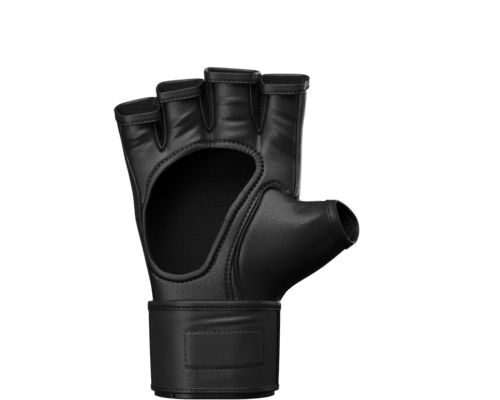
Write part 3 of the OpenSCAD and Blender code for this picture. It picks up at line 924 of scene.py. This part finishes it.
# The panel's edge goes on a little way under the palm leather.
THUMB_CENTRE = (50, 100)
seam_front = on_palm(thumb_seam, -1.6)[0]
step = directions(thumb_seam)
to_palm = np.stack([-step[:, 1], step[:, 0]], 1)
to_palm *= -np.sign((to_palm * (THUMB_CENTRE - thumb_seam)).sum(1))[:, None]
strip = ((3, -1.6), (0, -1.9), (-1.2, -2.6))
allowance = np.stack([on_palm(thumb_seam + to_palm * w, lift)[0] for w, lift in strip])
on_hand(skin("thumb_seam_allowance", allowance, 0.8, leather, flip=True))
root_low = curve([
    seam_front[-1], (28, -19, 55.5), (35, -8, 55.5), (39.3, 3, 56), on_back(thumb_back[-1:])[0]], 0.8)
root_back = on_back(thumb_back[::-1], -0.9)
root_top = curve([root_back[-1], (55.6, 4, 126), (55.2, -6, 127.6), (53.5, -14, 127.8), seam_front[0]], 0.8)
root_loop = np.vstack([line[:-1] for line in (seam_front, root_low, root_back, root_top)])
# Loops along the thumb, each starting at the top of its front and going round over the palm side
THUMB_LOOPS = (
    [(58, -17, 126.6), (56, -25, 121), (51, -30, 112), (47.5, -31, 101), (46, -29.5, 90), (47, -24, 79.5),
     (49.5, -14, 72.6), (51, -3, 71), (54, 7, 77), (58, 13, 90), (61, 13.5, 106), (61.5, 6, 121)],
    [(68, -16, 126.8), (66.5, -24.5, 121), (64.5, -28.5, 113), (63.5, -29, 104), (64, -26.5, 95.5),
     (66, -21, 88.5), (68.5, -13, 84.2), (70.5, -3, 83.6), (73.5, 6, 88.5), (76, 11.5, 98), (76.5, 12, 110),
     (73.5, 5, 122)],
    [(77.6, -15, 126.2), (77, -20.6, 121), (78.6, -23.6, 115.2), (80.5, -22.6, 109.6), (83, -19.8, 104.6),
     (85.6, -15, 101), (88.4, -9, 99.3), (90.6, -3, 99.9), (92.6, 3, 103), (93.6, 7, 108.4),
     (91.6, 6.6, 115.6), (85, 0, 122.6)],
)
ROOT_MARKS = [
    seam_front[0], (38.7, -22, 135.6), (28.5, -25, 126.5), (19.5, -28, 108), (14, -29, 88), (16.3, -28, 72.6),
    (22, -26, 57), (35, -8, 55.5), (42, 11, 63), (49.5, 10, 86), (53.8, 10, 108), (55.6, 4, 126)]
loops = [marked(root_loop, ROOT_MARKS)]
for outline in THUMB_LOOPS:
    dense = curve(outline, 0.5, ring=True)
    loops.append(smoothed(marked(dense, outline), 6))
LOOP_SHARES = (0.0, 0.42, 0.74, 1.0)


def thumb_at(s):
    """The loop at share s along the thumb, smooth through the four loops."""
    k = min(int(np.searchsorted(LOOP_SHARES, s, side="right")) - 1, 2)
    h = LOOP_SHARES[k + 1] - LOOP_SHARES[k]
    t = (s - LOOP_SHARES[k]) / h

    def slope(j):
        lo, hi = max(j - 1, 0), min(j + 1, 3)
        return (loops[hi] - loops[lo]) / (LOOP_SHARES[hi] - LOOP_SHARES[lo])

    return (
        (2 * t**3 - 3 * t**2 + 1) * loops[k] + (t**3 - 2 * t**2 + t) * h * slope(k)
        + (-2 * t**3 + 3 * t**2) * loops[k + 1] + (t**3 - t**2) * h * slope(k + 1)
    )


thumb_shares = np.concatenate([np.linspace(0, 0.12, 8, endpoint=False), np.linspace(0.12, 1, 44)])
thumb_grid = np.stack([thumb_at(s) for s in thumb_shares])
# The leather leaves the seam in a short roll, and creases run from the hem's top corner.
near_seam = hump(thumb_shares, 0.035)[:, None] * (np.arange(AROUND) < AROUND * 0.5)[None]
thumb_grid[..., 1] += 0.7 * near_seam
THUMB_FOLDS = (
    ((50, 119), (56, 122), (64, 126), 2.2, -0.8), ((46, 124), (52, 126), (58, 127), 1.8, 0.7),
    ((58, 112), (66, 116), (74, 122), 3.0, 0.5), ((60, 92), (68, 97), (78, 108), 3.5, -0.6),
)
front_side = thumb_grid[..., 1] < -8
flat = thumb_grid[..., [0, 2]].reshape(-1, 2)
thumb_grid[..., 1] -= folds(flat, THUMB_FOLDS).reshape(thumb_grid.shape[:2]) * front_side

fold_cut = int(np.argmax(((thumb_grid - joint_at["thumb_curl"]) @ THUMB_ALONG).min(1) > -6))
base = skin("thumb_base_panel", thumb_grid, LEATHER_T, leather, ring=True, rows=(0, fold_cut))
bends_thumb(base, "leather", "thumb_base_panel")
past_fold = (fold_cut, len(thumb_grid))
sleeve = skin("thumb_sleeve_panel", thumb_grid, LEATHER_T, leather, ring=True, rows=past_fold)
bends_thumb(sleeve, "leather", "thumb_sleeve_panel")

end_loop, before = thumb_grid[-1], thumb_grid[-6]
end_along = directions(end_loop, ring=True)
end_up = unit(end_loop - before)
end_side = unit(np.cross(end_up, end_along))
end_side *= np.sign(((end_loop - end_loop.mean(0)) * end_side).sum())
end_up = unit(end_up - (end_up * end_side).sum(1)[:, None] * end_side)
thumb_band = np.array([
    (1.2, 0.3), (0.9, 0.8), (0.3, 1.0), (-0.5, 0.9), (-1.0, 0.3), (-1.2, -2), (-1.1, -5.6), (-0.4, -6.4),
    (0.55, -6.4), (0.9, -6.0), (0.95, -5.3), (0.6, -4.8), (0.95, -4.3), (1.15, -2)])
bends_thumb(roll("thumb_hem", end_loop, end_side, end_up, thumb_band, trim_leather), "leather", "thumb_hem")
hem_row = end_loop + end_side * 0.6 - end_up * 4.8
bends_thumb(stitches("thumb_hem_stitches", hem_row, end_side, ring=True), "leather")
# Padding and lining inside the back half of the thumb's sleeve
back_cols = slice(int(AROUND * 0.6), int(AROUND * 0.97))
inner = thumb_grid[fold_cut:-2, back_cols]
inner_out = surface_normals(thumb_grid.reshape(-1, 3), grid_faces(len(thumb_grid), AROUND, ring_cols=True))
inner_out = inner_out.reshape(thumb_grid.shape)[fold_cut:-2, back_cols]
# Both thin out towards the hem.
thinning = ease(np.arange(len(inner))[::-1], 0, 16)[:, None, None]
inner -= inner_out * 1.5
thumb_pad = bends_thumb(skin("thumb_pad", inner[:-8], 2.2, foam), "foam", "thumb_pad")
lining_grid = inner - inner_out * 2.8 * thinning
thumb_lining = skin("thumb_sleeve_lining", lining_grid, KNIT_T, knit)
bends_thumb(thumb_lining, "lining_fabric", "thumb_sleeve_lining")

# ---------- pads ----------


SIMULATED_FRAMES = 20
PAD_PRESSURE = 4.0
PAD_VOXEL = 3.4
MOST_SWELL = 3.0


def swell(obj):
    """Lets air pressure fill a pad's skin, as its foam does, and keeps how far each place moves small."""
    remesh = obj.modifiers.new("remesh", "REMESH")
    remesh.mode = "VOXEL"
    remesh.voxel_size = PAD_VOXEL * MM
    bpy.context.view_layer.objects.active = obj
    obj.select_set(True)
    bpy.ops.object.modifier_apply(modifier="remesh")
    start = np.array([v.co[:] for v in obj.data.vertices])
    cloth = obj.modifiers.new("cloth", "CLOTH")
    cloth.settings.use_pressure = True
    cloth.settings.uniform_pressure_force = PAD_PRESSURE
    cloth.settings.effector_weights.gravity = 0
    cloth.settings.tension_stiffness = 25
    cloth.settings.quality = 4
    cloth.point_cache.frame_start = 1
    cloth.point_cache.frame_end = SIMULATED_FRAMES
    scene = bpy.context.scene
    for k in range(1, SIMULATED_FRAMES + 1):
        scene.frame_set(k)
    settled = obj.evaluated_get(bpy.context.evaluated_depsgraph_get()).to_mesh()
    end = np.array([v.co[:] for v in settled.vertices])
    obj.modifiers.remove(cloth)
    scene.frame_set(1)
    step = end - start
    far = np.linalg.norm(step, axis=1, keepdims=True)
    step *= np.minimum(1, MOST_SWELL * MM / np.maximum(far, 1e-9))
    obj.data.vertices.foreach_set("co", (start + step).ravel())
    divide = obj.modifiers.new("divide", "SUBSURF")
    divide.levels = 1
    bpy.ops.object.modifier_apply(modifier="divide")
    obj.select_set(False)


def rounded(corners, spacing=1.6, first=1.3, times=8):
    """A closed outline whose corners are rounded off."""
    return respace(smoothed(respace(corners, first, True), times), spacing, True)


def pad(name, body, outline, high, round_by, channels, groove=1.6):
    """A foam pad in leather, set a little into the back leather. `high` gives its crown at (x, z)."""
    flat, faces = fill([outline], 2.6)
    away = np.minimum(nearest(flat, outline, ring=True)[0] / round_by, 1)
    low = back_y(flat) - 0.5
    crown = low + (high(flat) - low) * (0.18 + 0.82 * (1 - (1 - away) ** 2.4) ** (1 / 2.4))
    top = np.stack([flat[:, 0], crown, flat[:, 1]], 1)
    under = np.stack([flat[:, 0], low, flat[:, 1]], 1)
    top_faces = facing(top, faces, 1)
    count, n = len(flat), len(outline)
    wall = [(k, (k + 1) % n, (k + 1) % n + count, k + count) for k in range(n)]
    both = top_faces.tolist() + (top_faces[:, ::-1] + count).tolist()
    obj = outward(piece(name, np.vstack([top, under]), both + wall, leather))
    swell(obj)
    places = np.array([v.co[:] for v in obj.data.vertices]) / MM
    low = back_y(places[:, [0, 2]]) - 0.5
    outer = ease(places[:, 1] - low, 2, 6)
    for line in channels:
        places[:, 1] -= groove * hump(nearest(places[:, [0, 2]], np.asarray(line, float))[0], 1.5) * outer
    places[:, 1] = np.maximum(places[:, 1], low)
    obj.data.vertices.foreach_set("co", (places * MM).ravel())
    obj.data.update()
    obj.data.shade_smooth()
    on(obj, body, "foam", name)


def sewn_round_pad(name, line):
    path = on_back(line, 0.1)
    on_hand(stitches(name, path, np.repeat([[0.0, 1, 0]], len(path), 0), ring=True))


knuckle_outline = rounded([
    (-51, 126), (-53.4, 140), (-56.6, 154), (-57.8, 158), (-48, 160), (-37, 162), (-33, 164.8), (-19, 167),
    (-6, 169.6), (-1, 172), (12, 172.6), (27, 172.8), (42, 172.5), (53.5, 171), (54.6, 167), (54, 150),
    (53, 135), (52.4, 126), (0, 125.2)])
KNUCKLES = ((-47, 150), (-19, 156), (11, 160), (41, 159))


def knuckle_crown(xz):
    rise = sum(1.6 * hump(xz[:, 0] - x, 11) * hump(xz[:, 1] - z, 16) for x, z in KNUCKLES)
    return 26.2 + rise + 1.5 * ease(xz[:, 1], 126, 150) - 3.0 * hump(xz[:, 0] + 58, 14)


knuckle_channels = (
    curve([(-34, 168), (-34, 150), (-31, 134), (-29, 122)], 2),
    curve([(-4, 174), (-4, 150), (-3.5, 122)], 2),
    curve([(28, 176), (27.5, 150), (25.5, 134), (24.5, 122)], 2),
)
pad("knuckle_pad", "hand", knuckle_outline, knuckle_crown, 8, knuckle_channels)
sewn_round_pad("knuckle_pad_stitches", grown(knuckle_outline, 1.4))

back_pad_outline = rounded([
    (-37, 62), (-41.5, 78), (-45.5, 95), (-49, 110), (-50.6, 121.5), (0, 122.2), (51.6, 121.6), (51, 110),
    (48.4, 97), (45, 82), (40, 69), (37.4, 62)])


def back_crown(xz):
    middle = 1 - (xz[:, 0] / 50) ** 2
    return 18.6 + 3.0 * middle + 1.4 * ease(xz[:, 1], 70, 115)


back_channels = (curve([(-48, 101), (0, 98), (49, 101)], 2), curve([(-44, 81), (0, 78), (46, 81)], 2))
pad("back_pad", "hand", back_pad_outline, back_crown, 7, back_channels, 1.1)
sewn_round_pad("back_pad_stitches", grown(back_pad_outline, 1.3))

# Finger pads: outline beside the finger's line as (across, up from the fold)
FINGER_PADS = (
    [(-12, 3), (12, 3), (12.2, 20), (10, 27.5), (-10, 22.5), (-12, 17)],
    [(-13.8, 3), (13.8, 3), (13.6, 24), (11.5, 32), (-11.5, 30.5), (-13.8, 24)],
    [(-14.6, 2.5), (14.6, 2.5), (14.6, 26), (12, 31.2), (-12, 33.5), (-14.6, 27)],
    [(-12.4, 3), (12.4, 3), (13.2, 22), (11.4, 28.8), (-11, 28.8), (-12.4, 22)],
)
for i, finger in enumerate(FINGERS):
    up = finger_up[i][[0, 2]]
    across = np.array([up[1], -up[0]])
    corners = np.array([fold_at[i][[0, 2]] + across * a + up * h for a, h in FINGER_PADS[i]])
    shape = rounded(corners, 1.4, 1.0, 10)
    centre = shape.mean(0)

    def finger_crown(xz):
        return 22.6 - 1.5 * hump(xz[:, 1] - shape[:, 1].max(), 6)

    middle_line = [centre - across * 20, centre + across * 20]
    pad(finger + "_pad", finger + "_finger", shape, finger_crown, 6, (middle_line,), 1.0)

# ---------- wrist strap ----------

STRAP_T = 3.4
BAND_EDGE = 5.2
# The wrist's outline seen from above is two half circles, this far to each side of its middle.
WRIST_R = 31.0
WRIST_HALF = 12.0
WRIST_X = -0.45


def round_wrist(r, places):
    """Points on the wrist's outline at a radius, from (side, degrees) places."""
    degrees = np.radians([a for _, a in places])
    side = np.array([k * WRIST_HALF for k, _ in places])
    return np.stack([WRIST_X + side + r * np.cos(degrees), r * np.sin(degrees)], 1)


# The strap's line runs from behind the thumb side round the palm and the little-finger side to the back.
strap_places = [(1, a) for a in range(60, -91, -2)] + [(-1, a) for a in range(-90, -271, -2)]
strap_places += [(1, a) for a in range(90, 29, -2)]
strap_line = round_wrist(WRIST_R, strap_places)
thumb_side = np.argmin(np.abs(strap_line[:40, 1]))
strap_run = length_along(strap_line)
strap_run -= strap_run[thumb_side]
strap_along = directions(strap_line)
strap_out = np.stack([strap_along[:, 1], -strap_along[:, 0]], 1)
strap_out *= np.sign(strap_out[thumb_side][0])


def strap_place(u, z, lift=0.0):
    """A place u along the wrist from the thumb side, z up, and `lift` off the strap's outer face."""
    u, z, lift = np.broadcast_arrays(np.asarray(u, float), z, lift)
    x, y = (np.interp(u, strap_run, strap_line[:, k]) for k in (0, 1))
    x = x - (x - WRIST_X) * np.clip((58 - z) / 54, 0, 1) * np.where(x < WRIST_X, 0.045, 0.03)
    nx, ny = (np.interp(u, strap_run, strap_out[:, k]) for k in (0, 1))
    return np.stack([x + nx * lift, y + ny * lift, z], -1)


def strap_outward(u):
    nx, ny = (np.interp(u, strap_run, strap_out[:, k]) for k in (0, 1))
    return unit(np.stack([nx, ny, np.zeros(len(nx))], -1))


# The strap narrows towards its lower edge, and its palm side stands a little higher.
def strap_top(y):
    return 60.1 + 2.0 * ease(-y, 0, 31)


def strap_bottom(y):
    return 4.2 + 0.4 * ease(-y, 0, 31)


# Upper and lower edges of the hook patch that is sewn inside the strap's front
PATCH = (
    curve([(-19.0, 43.5), (3.6, 44.1), (30.1, 45.0)], 1),
    curve([(31.5, 22.3), (16.1, 21.0), (-9, 20.2), (-18, 20.6)], 1),
)
patch_outline = chain(*PATCH)
STRAP_FOLDS = (
    ((-12, 51.5), (12, 52), (31, 55.5), 1.5, -0.75), ((-20, 47.5), (4, 50), (31, 52.5), 1.3, 0.6),
    ((-4, 46.6), (14, 47.4), (30, 49.2), 1.1, -0.55), ((-34, 50), (-16, 53), (2, 54.4), 2.0, 0.3),
    ((-40, 46), (-33, 38), (-36, 22), 4.0, -0.35), ((14, 24), (20, 32), (24, 42), 3.2, -0.25),
    ((-10, 12), (8, 16), (26, 14), 2.6, 0.3),
)


def strap_lift(points):
    """How far the strap's padded face stands off its plain line."""
    xz = points[..., [0, 2]].reshape(-1, 2)
    front = ease(-points[..., 1].reshape(-1), 2, 8)
    away = nearest(xz, patch_outline, ring=True)[0]
    lift = (folds(xz, STRAP_FOLDS) - 0.5 * hump(away, 0.7) + 0.3 * inside(xz, patch_outline)) * front
    return lift.reshape(points.shape[:-1])


def strap_face(u, z, lift=0.0):
    """Places on the strap's padded outer face. A stitched fold runs down the little-finger side."""
    points = strap_place(u, z)
    share = np.clip((z - strap_bottom(points[..., 1])) / 56, 0, 1)
    crown = 0.35 * np.sin(math.pi * share) ** 0.5 - 0.5 * hump(u - 112, 0.9) - 1.7 * hump(u - 9.9, 1.2)
    return strap_place(u, z, strap_lift(points) + crown + lift)


def strap_grid(u, rows=48):
    """The strap's outer face from one end of u to the other."""
    flat = strap_place(u, 0)
    low = strap_bottom(flat[:, 1])
    z = low + (strap_top(flat[:, 1]) - low) * np.linspace(0, 1, rows)[:, None]
    return strap_face(np.broadcast_to(u, z.shape), z)


# Each stretch of the strap: name, its u from and to, and how it moves
STRETCHES = (
    ("strap_anchor", -30, 27, "root"), ("strap_front", 27, 135, "front"), ("strap_back", 135, 185, "back"),
    ("strap_end", 185, 206.5, "end"),
)

# Where each stretch bends, and the bodies before and after
STRAP_HINGES = {
    "root": (-6, 9, "hand", "strap_front"),
    "front": (112, 126, "strap_front", "strap_back"),
    "back": (180, 185.5, "strap_back", "strap_end"),
}


def moves_with_strap(obj, kind, slot, *nodes):
    """Puts a piece of the strap's end on the strap's end body; any other strap piece has its place baked into
    its mesh. Either way its CAD nodes are hidden.
    """
    if kind == "end":
        return on(obj, "strap_end", slot, *nodes)
    start, end, a, b = STRAP_HINGES[kind]
    low, high = strap_place(start, 30), strap_place(end, 30)
    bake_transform(obj)
    return finish(obj, slot, *nodes)


folded_edge = np.array([
    (0.5, 0.5), (0.2, 0.9), (-0.5, 1.05), (-STRAP_T + 0.6, 0.95), (-STRAP_T - 0.4, 0.3),
    (-STRAP_T - 0.5, -2.5), (-STRAP_T - 0.3, -BAND_EDGE), (-STRAP_T + 0.3, -BAND_EDGE - 0.1),
    (0.1, -BAND_EDGE - 0.1), (0.55, -BAND_EDGE + 0.3), (0.6, -4.2), (0.2, -3.7), (0.65, -3.1),
    (0.7, -1.2)])
low_edge = np.array([
    (0.35, 0.3), (0.1, 0.6), (-0.5, 0.7), (-STRAP_T + 0.6, 0.6), (-STRAP_T - 0.3, 0.2),
    (-STRAP_T - 0.4, -1.5), (-STRAP_T - 0.2, -3.4), (0.1, -3.4), (0.5, -3.1), (0.55, -2.6), (0.2, -2.1),
    (0.55, -1.6), (0.6, -0.5)])
STRAP_EDGES = (("upper", folded_edge, strap_top, 1), ("lower", low_edge, strap_bottom, -1))
for name, start, end, kind in STRETCHES:
    u = np.linspace(start, end, int((end - start) / 1.2) + 1)
    grid = strap_grid(u)
    band = skin(name + "_band", grid, 1.2, strap_leather_painted_light, flip=True)
    moves_with_strap(band, kind, "leather", "strap_anchor" if kind == "root" else name + "_band")
    core_grid = strap_place(np.broadcast_to(u, grid.shape[:2]), grid[..., 2], -1.3)[3:-3]
    core = skin(name + "_foam", core_grid, STRAP_T - 1.3, knit, flip=True)
    moves_with_strap(core, kind, "foam", *((name + "_foam",) if kind != "root" else ()))
    for side_name, edge, z, way in STRAP_EDGES:
        path = strap_place(u, z(strap_place(u, 0)[:, 1]))
        out = strap_outward(u)
        up = np.repeat([[0.0, 0, way]], len(u), 0)
        trim = roll(f"{name}_{side_name}_binding", path, out, up, edge, trim_leather, ring=False)
        nodes = (name + "_bindings",) if kind != "root" and way == 1 else ()
        moves_with_strap(trim, kind, "leather", *nodes)
        row = path + out * 0.35 - up * (3.7 if way == 1 else 2.1)
        moves_with_strap(stitches(f"{name}_{side_name}_stitches", row, out), kind, "leather")

# Stitches round the front patch and down the folded side
u_front = np.linspace(10, 110, 400)
face_x = strap_place(u_front, 32)[:, 0]
order = np.argsort(face_x)
PATCH_ROWS = {
    "patch_left": straight(PATCH[1][-1], PATCH[0][0]), "patch_top": PATCH[0],
    "patch_right": straight(PATCH[0][-1], PATCH[1][0]), "patch_low": PATCH[1],
}
for name, line in PATCH_ROWS.items():
    u_line = np.interp(line[:, 0], face_x[order], u_front[order])
    path = strap_face(u_line, line[:, 1], 0.05)
    moves_with_strap(stitches(name + "_stitches", path, strap_outward(u_line)), "front", "leather")
u_side = np.full(40, 112.0)
path = strap_face(u_side, np.linspace(10, 53, 40), 0.05)
moves_with_strap(stitches("strap_side_stitches", path, strap_outward(u_side)), "front", "leather")

# A strip of black cloth lies down the channel on the thumb side as painted shadow. It stands for the dark,
# shaded gap at the strap's edge there.
u_gap_shade = np.full(40, 8.6)
line, out = strap_face(u_gap_shade, np.linspace(5, 59.5, 40), 0.5), strap_outward(u_gap_shade)
side = np.cross(directions(line), out)
tape = roll("strap_side_gap_shade_strip", line, side, out, oval(2.6, 1.4), gusset_mesh, ring=False)
moves_with_strap(tape, "root", "leather")

# Pull tab of woven tape on the strap's end
u = np.linspace(199, 213, 14)
z = np.linspace(21, 43, 16)[:, None]
tab_grid = strap_place(u, z, 1.5)
on(skin("strap_pull_tab", tab_grid, 1.2, webbing, flip=True), "strap_end", "webbing", "strap_pull_tab")
for k, u_row in enumerate((201.0, 204.5)):
    row = strap_place(np.full(30, u_row), np.linspace(22.5, 41.5, 30), 1.5)
    on(stitches(f"pull_tab_stitches_{k}", row, strap_outward(np.full(30, u_row))), "strap_end", "webbing")

# ---------- cuff ----------

SLIT_X = -26.0
HALF_SLIT = 0.4


def cuff_grid(inset, low, high, rows=16):
    """A layer round the wrist, from one side of the entry slit to the other."""
    r = WRIST_R - inset
    ring = round_wrist(r, [(1 if a < 90 else -1, a) for a in np.linspace(-90, 270, 241)[:-1]])
    ring = respace(ring, 0.8, True)
    at = np.argmin(np.hypot(ring[:, 0] - SLIT_X, ring[:, 1] + r) + 50 * (ring[:, 1] > 0))
    ring = np.roll(ring, -at, axis=0)
    closed = np.vstack([ring, ring[:1]])
    run = length_along(closed)
    line = sample(closed, run, np.linspace(HALF_SLIT, run[-1] - HALF_SLIT, 190))
    return np.array([np.column_stack([line, np.full(190, z)]) for z in np.linspace(low, high, rows)])


def cuff_sheet(name, inset, thickness, low, high, material, slot):
    grid = cuff_grid(inset, low, high)
    out = surface_normals(grid.reshape(-1, 3), grid_faces(*grid.shape[:2]))
    flip = float((out.reshape(grid.shape)[..., :2] * grid[..., :2]).sum()) < 0
    return on(skin(name, grid, thickness, material, flip=flip), "hand", slot, name), grid


cuff_sheet("cuff_shell", 5.3, 1.4, 0.8, 60, leather, "leather")
cuff_foam, _ = cuff_sheet("cuff_foam", 6.9, 2.9, 1.2, 60, foam, "foam")
cuff_lining, lining_grid = cuff_sheet("cuff_lining", 9.9, 1.0, 0.8, 61, knit, "lining_fabric")
rim = cuff_grid(7.0, 0, 7, 2)[0]
rim_out = directions(rim)[:, [1, 0, 2]] * (1, -1, 0)
rim_out *= np.sign((rim_out[:, :2] * rim[:, :2]).sum())
rim_band = np.array([
    (3.3, 1.0), (3.2, 0.3), (2.4, 0.02), (-2.4, 0.02), (-3.2, 0.3), (-3.3, 1.0), (-3.2, 6.6), (-2.4, 7),
    (2.4, 7), (3.1, 6.6), (3.2, 5.9), (2.9, 5.4), (3.2, 4.9)])
rim_up = np.repeat([[0.0, 0, 1]], len(rim), 0)
binding = roll("cuff_rim_binding", rim, rim_out, rim_up, rim_band, trim_leather, ring=False)
on_hand(binding, "cuff_rim_binding")
on_hand(stitches("cuff_rim_stitches", rim + rim_out * 2.9 + rim_up * 5.4, rim_out))

# The hook and loop tape keeps its plain shape, and gets its pile.
TAPES = {
    "strap_front_hook_patch": hook_tape, "strap_end_hook_patch": hook_tape,
    "cuff_front_loop_patch": loop_tape, "cuff_back_loop_patch": loop_tape,
}
for node, tape in TAPES.items():
    obj = bpy.data.objects[node]
    obj.data.materials.clear()
    obj.data.materials.append(tape)

# ---------- studio ----------


def area_light(name, place, size, power, aim=(0.02, 0, 0.1)):
    light = bpy.data.lights.new(name, "AREA")
    light.shape = "RECTANGLE"
    light.size, light.size_y = size
    light.energy = power
    obj = bpy.data.objects.new(name, light)
    obj.location = place
    obj.rotation_euler = (Vector(aim) - Vector(place)).to_track_quat("-Z", "Y").to_euler()
    bpy.context.scene.collection.objects.link(obj)


area_light("key_upper_left", (-0.4, -0.85, 0.95), (0.7, 0.7), 6)
area_light("key_upper_front", (0.15, -0.9, 1.1), (1.1, 0.6), 6.5)
area_light("fill_low_left", (-0.7, -1.2, 0.0), (0.6, 0.6), 6)
area_light("side_left", (-1.2, -0.5, 0.5), (0.6, 0.6), 0.9)
area_light("edge_right", (1.2, 0.3, 0.5), (0.6, 0.6), 2)
area_light("back", (0.3, 1.3, 0.35), (0.8, 0.6), 6, (0, 0, 0.1))

# Seamless white paper: matt and even. It glows a little, so that it stays white to the horizon.
paper, tree, _ = new_material("seamless_paper")
glow = {"Emission Color": (1, 1, 1, 1), "Emission Strength": 0.985}
shader = add(tree, "ShaderNodeBsdfPrincipled", {"Base Color": linear("#8a8a8a"), "Roughness": 1.0, **glow})
add(tree, "ShaderNodeOutputMaterial", None, {"Surface": shader.outputs[0]})
floor_corners = [(x, y, -0.2) for x, y in ((-4000, -4000), (4000, -4000), (4000, 4000), (-4000, 4000))]
floor = piece("floor", floor_corners, [[0, 1, 2, 3]], paper)
floor.visible_diffuse = False
floor.visible_glossy = False

# The room is white where the camera looks past the glove, and dim, darker below, for light and gloss.
world = bpy.data.worlds.new("studio")
world.use_nodes = True
tree = world.node_tree
tree.nodes.clear()
seen = add(tree, "ShaderNodeLightPath").outputs["Is Camera Ray"]
way = add(tree, "ShaderNodeTexCoord").outputs["Generated"]
height = add(tree, "ShaderNodeSeparateXYZ", None, {0: way}).outputs["Z"]
dimmer = {"From Min": -0.7, "From Max": 0.9, "To Min": 0.01, "To Max": 0.12}
fade = add(tree, "ShaderNodeMapRange", dimmer, {"Value": height})
dim = add(tree, "ShaderNodeBackground", {"Color": (1, 1, 1, 1)}, {"Strength": fade.outputs[0]})
white = add(tree, "ShaderNodeBackground", {"Color": (1, 1, 1, 1), "Strength": 1.0})
pick = add(tree, "ShaderNodeMixShader", None, {0: seen, 1: dim.outputs[0], 2: white.outputs[0]})
add(tree, "ShaderNodeOutputWorld", None, {"Surface": pick.outputs[0]})
bpy.context.scene.world = world
bpy.context.scene.view_settings.view_transform = "Standard"
